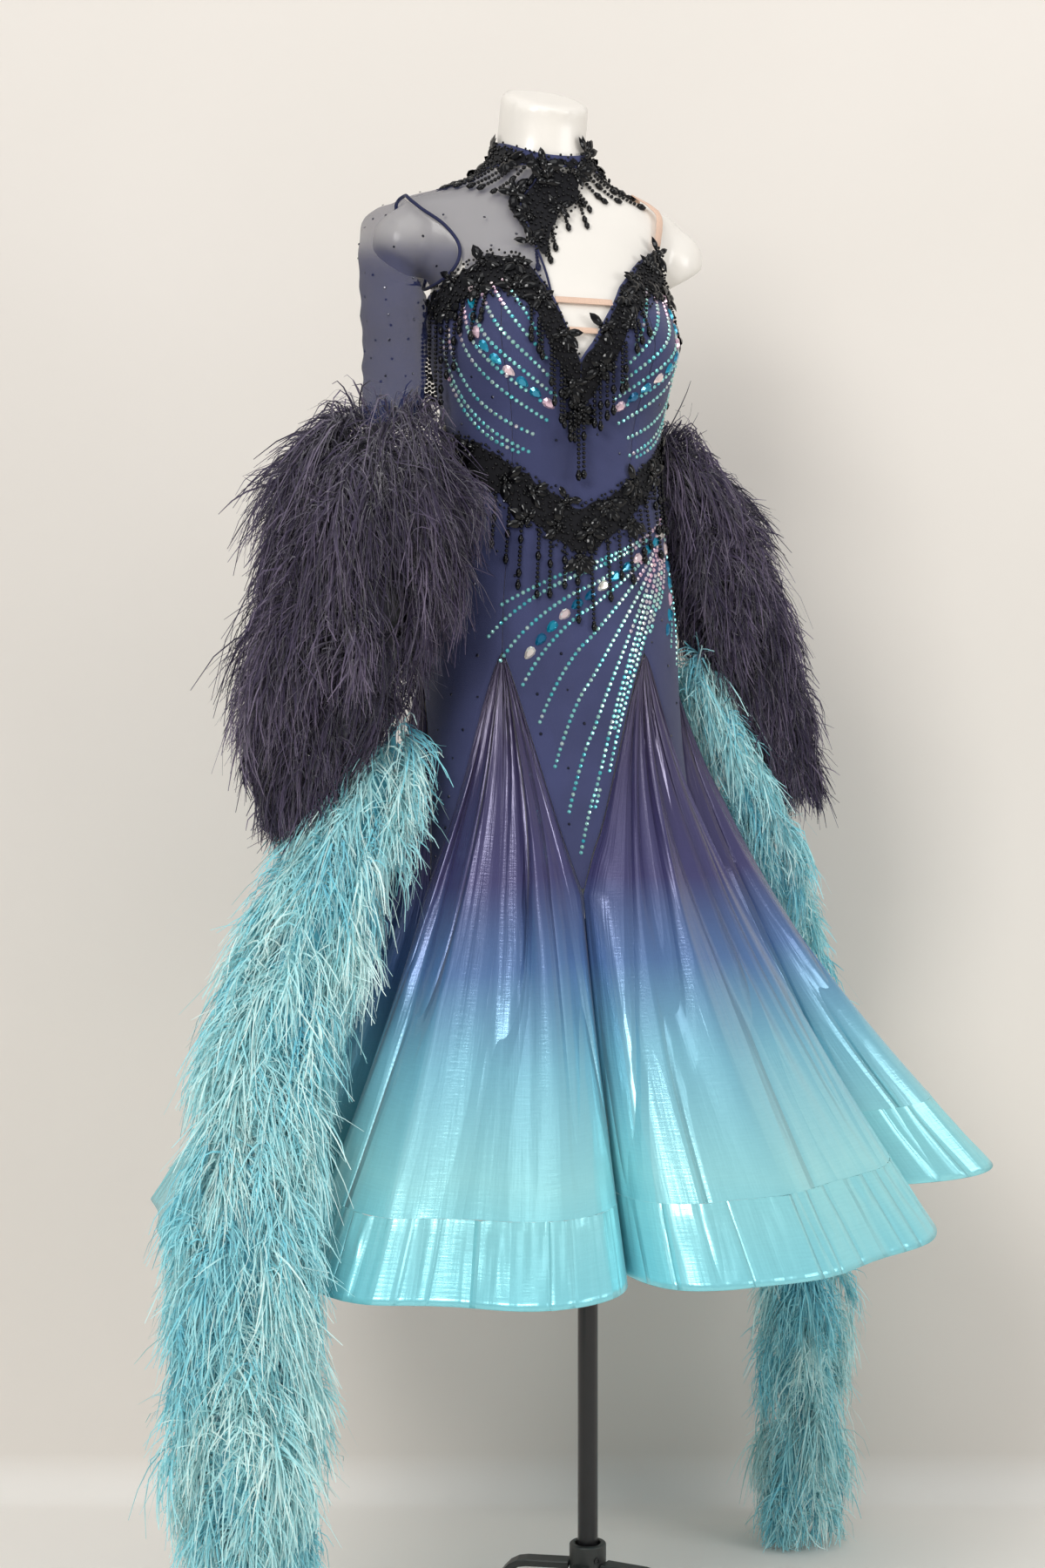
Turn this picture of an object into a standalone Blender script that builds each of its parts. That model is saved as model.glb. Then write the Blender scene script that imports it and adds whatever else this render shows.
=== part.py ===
"""A ballroom gown with feather floats, on a limbless dress form and its floor stand.

Metres, +Z up. The gown faces -Y, the wearer's left is +X, and the origin is on the floor
under the stand's pole. A "turn" is an angle in degrees round the body, 0 at the centre
front and growing towards the wearer's left, so the centre back is 180.
"""

import itertools
import math

import bmesh
import bpy
import numpy as np
from mathutils import Matrix, Vector

# ---- driving dimensions ------------------------------------------------------------------

SEAM_GAP = 0.0003  # between neighbouring pieces
JERSEY = 0.0012  # bodice and hip panels
SATIN = 0.0011  # godets
HORSEHAIR = 0.0016  # stiffened hem bands
NET = 0.0010  # sheer yoke and sleeve
ELASTIC = 0.0012  # skin-tone strap and neckline bars
BEADING = 0.0028  # beaded applique on its net
FRINGE = 0.0040  # reach of the hanging bead strands
FRINGE_DROP = 0.0013  # below the applique they hang from
COLLAR_BEADING = 0.0045

BODY_X = -0.045  # the body's centre line stands this far to the wearer's right of the pole
SECTION_POWER = 2.25  # 2 is an ellipse, more is squarer
FORM_CLEARANCE = 0.0058  # from the gown's outer face to the form under it
NECK_CLEARANCE = 0.0020  # under the choker

APEX_HEIGHT = 1.180  # where the godets start, on the hip
POINT_DOWN = 0.41  # share of the way from apex to hem where the hip panels end in points
GODET_SPREAD = 0.80  # under 1 the godets widen faster near their apex
FLARE_POWER = 1.45  # how late the godets swing out on their way down
HEM_BAND = 0.078

CUP_TURN = 35.0
CUP_HEIGHT = 1.527
CUP_REACH = 0.019
CUP_TURN_SPREAD = 22.0
CUP_HEIGHT_SPREAD = 0.052

CHOKER_BOTTOM = 1.744
CHOKER_WALL = 0.0016
CHOKER_EASE = 0.0010  # how far its outer face stands off the neck's section
CHOKER_TOP = 1.781  # at the back
CHOKER_FALL = 0.024  # its upper edge lies this much lower at the front

ARMHOLE_TURN = -90.0
ARMHOLE_HEIGHT = 1.652
ARMHOLE_HALF_TURN = 40.0
ARMHOLE_HALF_HEIGHT = 0.053

POLE_RADIUS = 0.0118
POLE_FOOT = 0.0603
POLE_TOP = 0.970
COLLAR_RADIUS = 0.0215
COLLAR_BORE = 0.0150
COLLAR_TOP = 0.140
HUB_FOOT_RADIUS = 0.048
HUB_FOOT_HEIGHT = 0.010
LEG_WIDTH = 0.022
LEG_THICKNESS = 0.008
LEG_TOP = 0.119
LEG_SHOULDER = 0.088  # distance from the pole at which a leg turns down
LEG_HEEL = 0.170  # where it reaches the floor
LEG_REACH = 0.340
LEG_TURNS = (-122.0, 157.0, 40.0, -43.0)
SCREW_RADIUS = 0.0040
SCREW_HEIGHT = 0.124
SCREW_TURN = 7.0

FORM_BOTTOM = 0.880
NECK_CAP_FRONT = 1.810
NECK_CAP_BACK = 1.854

# The gown's outer face, level by level: (height, half width, how far the section's middle
# is set back, and its depth before and behind that middle). Below the apex height it is
# the bottom of the folds between the godets.
SECTION_COLUMNS = ("height", "half_width", "set_back", "front", "back")
SECTIONS = (
    (0.510, 0.300, 0.000, 0.290, 0.290),
    (0.740, 0.226, 0.000, 0.205, 0.208),
    (0.900, 0.183, 0.000, 0.154, 0.158),
    (1.040, 0.159, 0.002, 0.122, 0.130),
    (1.120, 0.154, 0.004, 0.111, 0.124),
    (1.180, 0.152, 0.005, 0.107, 0.120),
    (1.240, 0.147, 0.005, 0.102, 0.112),
    (1.310, 0.136, 0.002, 0.094, 0.098),
    (1.390, 0.127, 0.000, 0.089, 0.090),
    (1.440, 0.130, 0.000, 0.095, 0.090),
    (1.490, 0.139, 0.002, 0.105, 0.092),
    (1.530, 0.147, 0.005, 0.110, 0.095),
    (1.570, 0.147, 0.010, 0.108, 0.094),
    (1.605, 0.145, 0.018, 0.098, 0.092),
    (1.640, 0.155, 0.028, 0.084, 0.084),
    (1.670, 0.173, 0.034, 0.072, 0.074),
    (1.690, 0.182, 0.036, 0.061, 0.065),
    (1.704, 0.170, 0.037, 0.056, 0.060),
    (1.716, 0.132, 0.038, 0.054, 0.057),
    (1.730, 0.096, 0.038, 0.054, 0.056),
    (1.745, 0.071, 0.038, 0.055, 0.056),
    (1.760, 0.058, 0.037, 0.055, 0.056),
    (1.800, 0.053, 0.030, 0.054, 0.054),
    (1.870, 0.052, 0.016, 0.053, 0.053),
)

# Six godets round the skirt: the turn of the seam that each is let into, the turns of the
# folds on either side of it, how far it swells past them at the hem, and its hem's height.
GODET_COLUMNS = ("name", "seam", "fold_before", "fold_after", "fullness", "hem")
GODETS = (
    ("right_back", -157.0, -185.0, -130.0, 0.170, 0.560),
    ("right_side", -101.0, -130.0, -70.0, 0.170, 0.545),
    ("right_front", -36.0, -70.0, -6.0, 0.125, 0.518),
    ("left_front", 28.0, -6.0, 61.0, 0.150, 0.532),
    ("left_side", 92.0, 61.0, 120.0, 0.235, 0.600),
    ("left_back", 148.0, 120.0, 175.0, 0.180, 0.580),
)

# The bodice's upper edge all round: (turn, height).
TOP_EDGE = (
    (-180.0, 1.530),
    (-140.0, 1.540),
    (-112.0, 1.580),
    (-92.0, 1.592),
    (-72.0, 1.596),
    (-52.0, 1.612),
    (-34.0, 1.627),
    (-20.0, 1.624),
    (-13.0, 1.590),
    (-3.0, 1.508),
    (7.0, 1.560),
    (17.0, 1.598),
    (32.0, 1.634),
    (46.0, 1.655),
    (56.0, 1.632),
    (72.0, 1.586),
    (92.0, 1.564),
    (120.0, 1.548),
    (180.0, 1.530),
)


# ---- the gown's form ---------------------------------------------------------------------


def smooth(table, key, column):
    """The column's value at a key, on a smooth curve through the table's rows."""
    keys = np.array([row[0] for row in table])
    values = np.array([row[column] for row in table])
    slopes = np.gradient(values, keys)
    i = int(np.clip(np.searchsorted(keys, key) - 1, 0, len(keys) - 2))
    step = keys[i + 1] - keys[i]
    t = min(max((key - keys[i]) / step, 0.0), 1.0)
    rise = values[i + 1] - values[i]
    before = slopes[i] * step - rise
    after = slopes[i + 1] * step - rise
    return values[i] + t * rise + t * (1 - t) * ((1 - t) * before - t * after)


def straight(table, key, column=1):
    return float(np.interp(key, [row[0] for row in table], [row[column] for row in table]))


def wrapped(turn):
    """The same direction as a turn from -180 to 180."""
    return (turn + 180.0) % 360.0 - 180.0


def direction(turn):
    return Vector((math.sin(math.radians(turn)), -math.cos(math.radians(turn)), 0.0))


def cup_swell(turn, height):
    """How far the cups stand out of the plain section."""
    rise = (height - CUP_HEIGHT) / CUP_HEIGHT_SPREAD
    return sum(
        CUP_REACH * math.exp(-(((turn - side * CUP_TURN) / CUP_TURN_SPREAD) ** 2) - rise**2)
        for side in (-1, 1)
    )


def body_point(turn, height, out=0.0):
    """A point on the section at this height, moved out level by out."""
    half_width, set_back, front, back = (smooth(SECTIONS, height, i) for i in range(1, 5))
    angle = math.radians(turn)
    sine, cosine = math.sin(angle), math.cos(angle)
    power = 2.0 / SECTION_POWER
    depth = front if cosine > 0 else back
    x = BODY_X + half_width * math.copysign(abs(sine) ** power, sine)
    y = set_back - depth * math.copysign(abs(cosine) ** power, cosine)
    out += cup_swell(wrapped(turn), height)
    return Vector((x + out * sine, y - out * cosine, height))


def godet_of(turn):
    """The godet whose stretch of the hem holds this turn, and the turn brought into it."""
    for godet in GODETS:
        for lap in (turn - 360.0, turn, turn + 360.0):
            if godet[2] <= lap <= godet[3]:
                return godet, lap
    raise ValueError(turn)


def fold_hem(index):
    """The hem's height in the fold before a godet."""
    return (GODETS[index - 1][5] + GODETS[index][5]) / 2


def hem_height(turn):
    godet, lap = godet_of(turn)
    index = GODETS.index(godet)
    if lap < godet[1]:
        share, edge = (godet[1] - lap) / (godet[1] - godet[2]), fold_hem(index)
    else:
        share = (lap - godet[1]) / (godet[3] - godet[1])
        edge = fold_hem((index + 1) % len(GODETS))
    return godet[5] + (edge - godet[5]) * share**3


def godet_edges(godet, down):
    """The turns of a godet's two edges at a share of the way from apex to hem."""
    spread = min(1.0, max(down, 0.0) / POINT_DOWN) ** GODET_SPREAD
    seam = godet[1]
    return seam + (godet[2] - seam) * spread, seam + (godet[3] - seam) * spread


def height_at(turn, down):
    """The height at a share of the way from apex to hem; above the apex it is level."""
    drop = APEX_HEIGHT - (hem_height(turn) if down > 0 else GODETS[2][5])
    return APEX_HEIGHT - down * drop


def down_at(height):
    """The share that a height above the apex has, which is negative."""
    return (APEX_HEIGHT - height) / (APEX_HEIGHT - GODETS[2][5])


def swell(godet, across, down):
    """How far a godet stands out of its folds: across is -1 at one edge and 1 at the other."""
    squareness = 2.5 + 8.0 * down
    bow = max(0.0, 1.0 - abs(across) ** squareness) ** 0.62
    return godet[4] * down**FLARE_POWER * bow


def panel_point(turn, down):
    """A point of the hip panels and bodice, which run under the godets' folds."""
    return body_point(turn, height_at(turn, down))


def godet_point(godet, across, down, gap):
    """A point of a godet, with its edges drawn in by gap."""
    first, last = godet_edges(godet, down)
    middle, half = (first + last) / 2, (last - first) / 2
    trim = math.degrees(gap / 0.2)
    turn = middle + across * max(half - trim, 0.3)
    height = height_at(turn, down)
    return body_point(turn, height, swell(godet, across, down))


# ---- building ------------------------------------------------------------------------------


def clear_scene():
    for thing in list(bpy.data.objects):
        bpy.data.objects.remove(thing, do_unlink=True)


def new_collection(name, hidden=False):
    made = bpy.data.collections.new(name)
    bpy.context.scene.collection.children.link(made)
    made.hide_render = hidden
    return made


def material(name, colour, roughness, metallic=0.0):
    made = bpy.data.materials.new(name)
    made.use_nodes = True
    shader = made.node_tree.nodes["Principled BSDF"]
    shader.inputs["Base Color"].default_value = (*colour, 1.0)
    shader.inputs["Roughness"].default_value = roughness
    shader.inputs["Metallic"].default_value = metallic
    return made


def link(mesh, name, finish, collection):
    made = bpy.data.objects.new(name, mesh)
    if finish:
        mesh.materials.append(finish)
    collection.objects.link(made)
    return made


def mesh_of(name, points, faces):
    mesh = bpy.data.meshes.new(name)
    mesh.from_pydata([tuple(point) for point in points], [], faces)
    mesh.validate()
    shell = bmesh.new()
    shell.from_mesh(mesh)
    bmesh.ops.recalc_face_normals(shell, faces=shell.faces)
    shell.to_mesh(mesh)
    shell.free()
    mesh.shade_smooth()
    return mesh


def sheet(name, rows, thickness, finish, collection, ring=False, lift=0.0):
    """A cloth wall over rows of points: the rows are its outer face, seen from outside.

    The wall's thickness goes inwards. With lift, its inner face is that far outside them.
    """
    grid = np.array([[tuple(point) for point in row] for row in rows])
    outwards = grid_normals(grid, ring)
    inner = grid + lift * outwards - (0.0 if lift else thickness) * outwards
    outer = inner + thickness * outwards
    count, width = grid.shape[:2]
    points = list(outer.reshape(-1, 3)) + list(inner.reshape(-1, 3))
    under = count * width

    def at(row, column):
        return row * width + column % width

    faces = []
    spans = width if ring else width - 1
    for row in range(count - 1):
        for column in range(spans):
            square = (at(row, column), at(row, column + 1), at(row + 1, column + 1), at(row + 1, column))
            for corners in split_square(square, points):
                faces.append(corners)
                faces.append(tuple(under + corner for corner in reversed(corners)))
    rims = [(at(0, c), at(0, c + 1)) for c in range(spans)]
    rims += [(at(count - 1, c + 1), at(count - 1, c)) for c in range(spans)]
    if not ring:
        rims += [(at(r + 1, 0), at(r, 0)) for r in range(count - 1)]
        rims += [(at(r, width - 1), at(r + 1, width - 1)) for r in range(count - 1)]
    faces += [(b, a, under + a, under + b) for a, b in rims]
    return link(mesh_of(name, points, faces), name, finish, collection)


def split_square(square, points):
    """Two triangles over a square's shorter diagonal, so both faces of a wall bend alike."""
    a, b, c, d = square
    if np.linalg.norm(points[a] - points[c]) <= np.linalg.norm(points[b] - points[d]):
        return (a, b, c), (a, c, d)
    return (a, b, d), (b, c, d)


def grid_normals(grid, ring):
    """Unit normals of a grid of points, all to the side that faces away from the body."""
    along = np.gradient(grid, axis=0)
    if ring:
        around = np.roll(grid, -1, axis=1) - np.roll(grid, 1, axis=1)
    else:
        around = np.gradient(grid, axis=1)
    normals = np.cross(along, around)
    normals /= np.maximum(np.linalg.norm(normals, axis=2, keepdims=True), 1e-12)
    middle = grid.reshape(-1, 3).mean(axis=0) if ring else np.array((BODY_X, 0.0, 0.0))
    outwards = grid - middle
    outwards[..., 2] = 0.0
    if (normals * outwards).sum() < 0:
        normals = -normals
    return normals


def loft(name, rings, finish, collection):
    """A closed solid through rings of points, each closed by a cap."""
    width = len(rings[0])
    points = [point for ring in rings for point in ring]
    faces = []
    for row in range(len(rings) - 1):
        for column in range(width):
            after = (column + 1) % width
            low, high = row * width, (row + 1) * width
            faces.append((low + column, low + after, high + after, high + column))
    faces.append(tuple(reversed(range(width))))
    last = (len(rings) - 1) * width
    faces.append(tuple(last + column for column in range(width)))
    return link(mesh_of(name, points, faces), name, finish, collection)


def boolean(piece, cutter, operation):
    step = piece.modifiers.new(cutter.name, "BOOLEAN")
    step.operation = operation
    step.object = cutter
    step.solver = "EXACT"


def cylinder(name, radius, start, end, finish, collection, sides=24):
    """A round bar between two points."""
    start, end = Vector(start), Vector(end)
    axis = end - start
    shell = bmesh.new()
    bmesh.ops.create_cone(
        shell,
        cap_ends=True,
        segments=sides,
        radius1=radius,
        radius2=radius,
        depth=axis.length,
        matrix=Matrix.Translation((start + end) / 2)
        @ Vector((0, 0, 1)).rotation_difference(axis).to_matrix().to_4x4(),
    )
    mesh = bpy.data.meshes.new(name)
    shell.to_mesh(mesh)
    shell.free()
    return link(mesh, name, finish, collection)


def as_cutter(piece):
    piece.hide_render = True
    piece.display_type = "WIRE"
    return piece


def edge_spaced(count, power=0.55):
    """Places from -1 to 1, closer together near both ends."""
    steps = np.linspace(-1.0, 1.0, count)
    return [math.copysign(abs(step) ** power, step) for step in steps]


# ---- the gown's pieces ---------------------------------------------------------------------

UPPER_LEVELS = (1.23, 1.29, 1.35, 1.41, 1.45, 1.48)  # above the apex
BUST_ROWS = 7  # between the last of these and the upper edge
# Shares of the way down at which both the godets and the hip panels beside them have a row.
SHARED_DOWNS = (0.006, 0.04, 0.09, 0.15, 0.22, 0.31, 0.40)
LOWER_DOWNS = (0.56, 0.74)
GODET_COLUMNS_ACROSS = 10

# Each hip panel lies between the seam of one godet and the seam of the next.
PANELS = ("right_back", "right_side", "front", "left_side", "left_back", "back")
PANEL_COLUMNS = (5, 6, 13, 6, 5, 5)


def column_shares(first, last, columns):
    """Even shares across a panel, with the nearest ones moved to the upper edge's corners."""
    shares = np.linspace(0.0, 1.0, columns)
    for turn, _ in TOP_EDGE:
        share = (turn - first) / (last - first)
        nearest = int(np.abs(shares - share).argmin())
        if 0 < nearest < columns - 1 and 0.0 < share < 1.0:
            shares[nearest] = share
    return shares


def panel_rows(before, after, columns):
    """A panel from its point up to the bodice's upper edge, between two godets' seams."""
    after_seam = after[1] + (360.0 if after[1] < before[1] else 0.0)
    shares = column_shares(before[1], after_seam, columns)
    lap = after_seam - after[1]
    rows = []
    for down in (*reversed(SHARED_DOWNS), 0.0):
        first = godet_edges(before, down)[1]
        last = godet_edges(after, down)[0] + lap
        rows.append(panel_row(first, last, shares, [down] * columns))
    for level in UPPER_LEVELS:
        rows.append(panel_row(before[1], after_seam, shares, [down_at(level)] * columns))
    base = UPPER_LEVELS[-1]
    turns = [before[1] + share * (after_seam - before[1]) for share in shares]
    tops = [straight(TOP_EDGE, wrapped(turn)) for turn in turns]
    for step in range(1, BUST_ROWS + 1):
        levels = [base + (top - base) * step / BUST_ROWS for top in tops]
        rows.append(panel_row(before[1], after_seam, shares, [down_at(z) for z in levels]))
    return rows


def panel_row(first, last, shares, downs):
    trim = math.degrees(SEAM_GAP * 1.1 / 0.15)
    first, last = first + trim, last - trim
    return [panel_point(first + s * (last - first), d) for s, d in zip(shares, downs)]


def add_panels(finish, collection):
    for index, name in enumerate(PANELS):
        before, after = GODETS[index], GODETS[(index + 1) % len(GODETS)]
        rows = panel_rows(before, after, PANEL_COLUMNS[index])
        sheet(f"panel_{name}", rows, JERSEY, finish, collection)


def band_share(godet):
    """The share of the way down at which the hem band is sewn on."""
    return 1.0 - HEM_BAND / (APEX_HEIGHT - godet[5])


def add_godets(satin, band_satin, collection):
    places = edge_spaced(GODET_COLUMNS_ACROSS)
    for godet in GODETS:
        seam = band_share(godet)
        gap = SEAM_GAP / (APEX_HEIGHT - godet[5])
        downs = (*SHARED_DOWNS, *LOWER_DOWNS, seam - gap)
        rows = [[godet_point(godet, a, d, SEAM_GAP) for a in places] for d in downs]
        sheet(f"godet_{godet[0]}", rows, SATIN, satin, collection)
        rows = [[godet_point(godet, a, d, SEAM_GAP) for a in places] for d in (seam, (seam + 1) / 2, 1.0)]
        sheet(f"hem_band_{godet[0]}", rows, HORSEHAIR, band_satin, collection)


def choker_height(turn, share):
    """The height on the choker, its share 0 at the lower edge and 1 at the upper."""
    top = CHOKER_TOP - CHOKER_FALL * ((1.0 + math.cos(math.radians(turn))) / 2) ** 2.5
    return CHOKER_BOTTOM + share * (top - CHOKER_BOTTOM)


def choker_rows():
    turns = np.linspace(-180.0, 180.0, 25)[:-1]
    return [[body_point(t, choker_height(t, share), CHOKER_EASE) for t in turns] for share in (0.0, 0.5, 1.0)]


def add_choker(finish, collection):
    sheet("choker_band", choker_rows(), CHOKER_WALL, finish, collection, ring=True)


def armhole(angle, share=1.0):
    """(turn, height) on the armhole: angle 0 at its front, 90 at its top."""
    return (
        ARMHOLE_TURN + share * ARMHOLE_HALF_TURN * math.cos(math.radians(angle)),
        ARMHOLE_HEIGHT + share * ARMHOLE_HALF_HEIGHT * math.sin(math.radians(angle)),
    )


def edge_path(corners, count):
    """Points at even steps along a path of (turn, height) corners."""
    corners = np.array(corners)
    steps = np.hypot(np.diff(corners[:, 0]) / 400.0, np.diff(corners[:, 1]))
    reach = np.concatenate([[0.0], np.cumsum(steps)])
    at = np.linspace(0.0, reach[-1], count)
    return np.stack([np.interp(at, reach, corners[:, i]) for i in (0, 1)], axis=1)


def filled(bottom, top, first, last, rows):
    """A patch between four paths: a Coons patch in turn and height."""
    columns = len(bottom)
    low, high = np.array(bottom), edge_path(top, columns)
    left, right = edge_path(first, rows), edge_path(last, rows)
    patch = []
    for i, v in enumerate(np.linspace(0.0, 1.0, rows)):
        row = []
        for j, u in enumerate(np.linspace(0.0, 1.0, columns)):
            ends = (1 - u) * left[i] + u * right[i]
            sides = (1 - v) * low[j] + v * high[j]
            corners = (1 - v) * ((1 - u) * low[0] + u * low[-1]) + v * ((1 - u) * high[0] + u * high[-1])
            row.append(ends + sides - corners)
        patch.append(row)
    return patch


NET_EASE = 0.0012  # the net's outer face stands off the body's section
YOKE_EDGE = 0.0031  # the net stands this far off its neighbours' edges
YOKE_INNER_TURN = -13.0
YOKE_BACK_TURN = -183.0


def over_top_edge(first, last, count):
    turns = first + column_shares(first, last, count) * (last - first)
    return [(t, straight(TOP_EDGE, wrapped(t)) + YOKE_EDGE) for t in turns]


def add_yoke(finish, collection):
    top = CHOKER_BOTTOM - YOKE_EDGE
    for name, inner, foot, side in (
        ("front", YOKE_INNER_TURN, -28.0, 1),
        ("back", YOKE_BACK_TURN, 208.0, -1),
    ):
        rim = [armhole(foot + (90.0 - foot) * i / 6, 1.012) for i in range(7)]
        rim[0] = (rim[0][0], straight(TOP_EDGE, wrapped(rim[0][0])) + YOKE_EDGE)
        shoulder = (ARMHOLE_TURN + side * 0.6, rim[-1][1])
        rim[-1] = shoulder
        rim.append((ARMHOLE_TURN + side * 0.6, top))
        bottom = over_top_edge(inner, rim[0][0], 9)
        above = [(inner + (rim[-1][0] - inner) * i / 7, top) for i in range(8)]
        first = [bottom[0], (inner, top)]
        patch = filled(bottom, above, first, rim, 7)
        rows = [[body_point(t, h, NET_EASE) for t, h in row] for row in patch]
        sheet(f"yoke_{name}", rows, NET, finish, collection)


# The sleeve's rings below the armhole: the middle of each, its radius across and fore and
# aft, and how far it leans outwards.
SLEEVE_COLUMNS = ("x", "y", "height", "across", "fore_and_aft", "lean")
SLEEVE = (
    (-0.2330, 0.032, 1.6400, 0.046, 0.050, 50.0),
    (-0.2310, 0.028, 1.5950, 0.038, 0.044, 12.0),
    (-0.2340, 0.012, 1.5400, 0.0365, 0.040, -3.0),
    (-0.2450, -0.018, 1.4850, 0.0355, 0.037, -6.0),
    (-0.2590, -0.048, 1.4350, 0.034, 0.034, -6.0),
)
SLEEVE_SIDES = 14


def sleeve_ring(x, y, height, across, fore_and_aft, lean, grow=0.0):
    across, fore_and_aft, lean = across + grow, fore_and_aft + grow, math.radians(lean)
    ring = []
    for side in range(SLEEVE_SIDES):
        angle = math.tau * side / SLEEVE_SIDES
        outward, forward = math.sin(angle) * across, math.cos(angle) * fore_and_aft
        ring.append(Vector((x - outward * math.cos(lean), y - forward, height + outward * math.sin(lean))))
    return ring


def add_sleeve(finish, collection):
    start = [body_point(*armhole(360.0 * s / SLEEVE_SIDES, 0.965), NET_EASE) for s in range(SLEEVE_SIDES)]
    rows = [start] + [sleeve_ring(*row) for row in SLEEVE]
    sheet("sleeve", rows, NET, finish, collection, ring=True)


# Bands that lie on the gown or the form: (turn, height) along the middle of each.
STRAP_WIDTH = 0.009
STRAP_RISE = 0.0034  # off the body's section, away from its two ends
STRAP = (
    (46.0, 1.6575), (43.5, 1.685), (46.5, 1.706), (60.0, 1.7195), (78.0, 1.7215), (104.0, 1.716),
    (130.0, 1.655), (146.0, 1.5424),
)
NECKLINE_BARS = ((1.578, 0.0080), (1.543, 0.0065))  # (height, width)
BAR_INSET = 0.35  # degrees between a bar's end and the V's edge


def neckline_turns(height):
    """The turns between which the V of the neckline is open at this height."""
    left = [(h, t) for t, h in TOP_EDGE if -20.5 < t < -2.5][::-1]
    right = [(h, t) for t, h in TOP_EDGE if -3.5 < t < 20.0]
    return straight(left, height) + BAR_INSET, straight(right, height) - BAR_INSET


def add_straps(finish, collection):
    path = edge_path(STRAP, 28)
    middle = [body_point(t, h) for t, h in path]
    rows = []
    for i, point in enumerate(middle):
        tangent = middle[min(i + 1, len(middle) - 1)] - middle[max(i - 1, 0)]
        t, h = path[i]
        around = body_point(t + 1.0, h) - body_point(t - 1.0, h)
        rising = body_point(t, h + 0.002) - body_point(t, h - 0.002)
        outwards = around.cross(rising).normalized()
        beside = tangent.cross(outwards).normalized() * STRAP_WIDTH / 2
        point += outwards * STRAP_RISE * min(1.0, i / 3, (len(middle) - 1 - i) / 3)
        rows.append([point - beside, point + beside])
    sheet("strap", rows, ELASTIC, finish, collection)
    for number, (height, width) in enumerate(NECKLINE_BARS, 1):
        rows = []
        for edge in (height - width / 2, height + width / 2):
            rows.append([body_point(t, edge) for t in np.linspace(*neckline_turns(edge), 5)])
        sheet(f"neckline_bar_{number}", rows, ELASTIC, finish, collection)


# Beaded appliques and the reach of their hanging strands: (turn, upper edge, lower edge).
RIGHT_CUP_BEADS = (
    (-86.0, 1.591, 1.556),
    (-72.0, 1.594, 1.560),
    (-52.0, 1.610, 1.576),
    (-35.0, 1.625, 1.585),
    (-21.0, 1.622, 1.560),
    (-13.5, 1.588, 1.510),
    (-7.0, 1.538, 1.465),
    (-2.6, 1.508, 1.445),
)
LEFT_CUP_BEADS = (
    (-2.2, 1.508, 1.445),
    (5.0, 1.546, 1.478),
    (12.0, 1.576, 1.520),
    (20.0, 1.604, 1.560),
    (32.0, 1.631, 1.582),
    (46.0, 1.652, 1.594),
    (56.0, 1.629, 1.578),
    (72.0, 1.583, 1.545),
    (88.0, 1.563, 1.534),
)
BACK_BEADS = (
    (91.0, 1.561, 1.534),
    (120.0, 1.545, 1.518),
    (150.0, 1.535, 1.508),
    (180.0, 1.527, 1.500),
    (220.0, 1.537, 1.510),
    (248.0, 1.576, 1.546),
    (257.0, 1.582, 1.550),
)
WAIST_BEADS = (
    (-100.0, 1.435, 1.395),
    (-75.0, 1.430, 1.385),
    (-52.0, 1.415, 1.365),
    (-32.0, 1.390, 1.335),
    (-14.0, 1.365, 1.308),
    (-2.0, 1.348, 1.286),
    (10.0, 1.358, 1.302),
    (32.0, 1.390, 1.340),
    (58.0, 1.425, 1.380),
    (90.0, 1.440, 1.400),
)
# How far each lies off the gown, which clears the corners of the flat faces below.
APPLIQUES = {
    "right_cup": (RIGHT_CUP_BEADS, 0.0020),
    "left_cup": (LEFT_CUP_BEADS, 0.0018),
    "back": (BACK_BEADS, 0.0022),
    "waist": (WAIST_BEADS, 0.0027),
}
# The strands that hang below an applique's lower edge: its beads, the gap under them and
# the (turn, lower end) of their tips.
FRINGES = {
    "right_cup": (RIGHT_CUP_BEADS, 0.0013, ((-85.0, 1.462), (-72.0, 1.505), (-36.0, 1.555))),
    "neckline": (
        RIGHT_CUP_BEADS + LEFT_CUP_BEADS,
        0.0018,
        ((-24.0, 1.530), (-13.0, 1.440), (-2.4, 1.405), (6.0, 1.440), (14.0, 1.500)),
    ),
    "waist": (
        WAIST_BEADS,
        0.0025,
        (
            (-98.0, 1.340),
            (-52.0, 1.290),
            (-14.0, 1.225),
            (-2.0, 1.190),
            (10.0, 1.225),
            (58.0, 1.310),
            (88.0, 1.350),
        ),
    ),
    "back": (BACK_BEADS, 0.0022, ((93.0, 1.480), (180.0, 1.430), (240.0, 1.460), (255.0, 1.448))),
}


LAYER_ROWS = 4


def layer(name, edges, thickness, finish, collection, lift):
    """A wall lying on the gown between an upper and a lower edge, made from its points."""
    turns = [row[0] for row in edges]
    turns += [(a + b) / 2 for a, b in zip(turns, turns[1:])]
    grid = []
    for share in np.linspace(0.0, 1.0, LAYER_ROWS):
        row = []
        for turn in sorted(turns):
            upper, lower = straight(edges, turn, 1), straight(edges, turn, 2)
            row.append(body_point(turn, lower + share * (upper - lower)))
        grid.append(row)
    sheet(name, grid, thickness, finish, collection, lift=lift)


def fringe_edges(beads, ends):
    """Rows of (turn, upper, lower) for strands that start just under their applique."""
    turns = {row[0] for row in beads if ends[0][0] < row[0] < ends[-1][0]}
    turns |= {row[0] for row in ends}
    return [(t, straight(beads, t, 2) - FRINGE_DROP, straight(ends, t)) for t in sorted(turns)]


def add_beading(finish, collection):
    for name, (beads, lift) in APPLIQUES.items():
        layer(f"beading_{name}", beads, BEADING, finish, collection, lift)
    for name, (beads, lift, ends) in FRINGES.items():
        layer(f"fringe_{name}", fringe_edges(beads, ends), FRINGE, finish, collection, lift)


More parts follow.
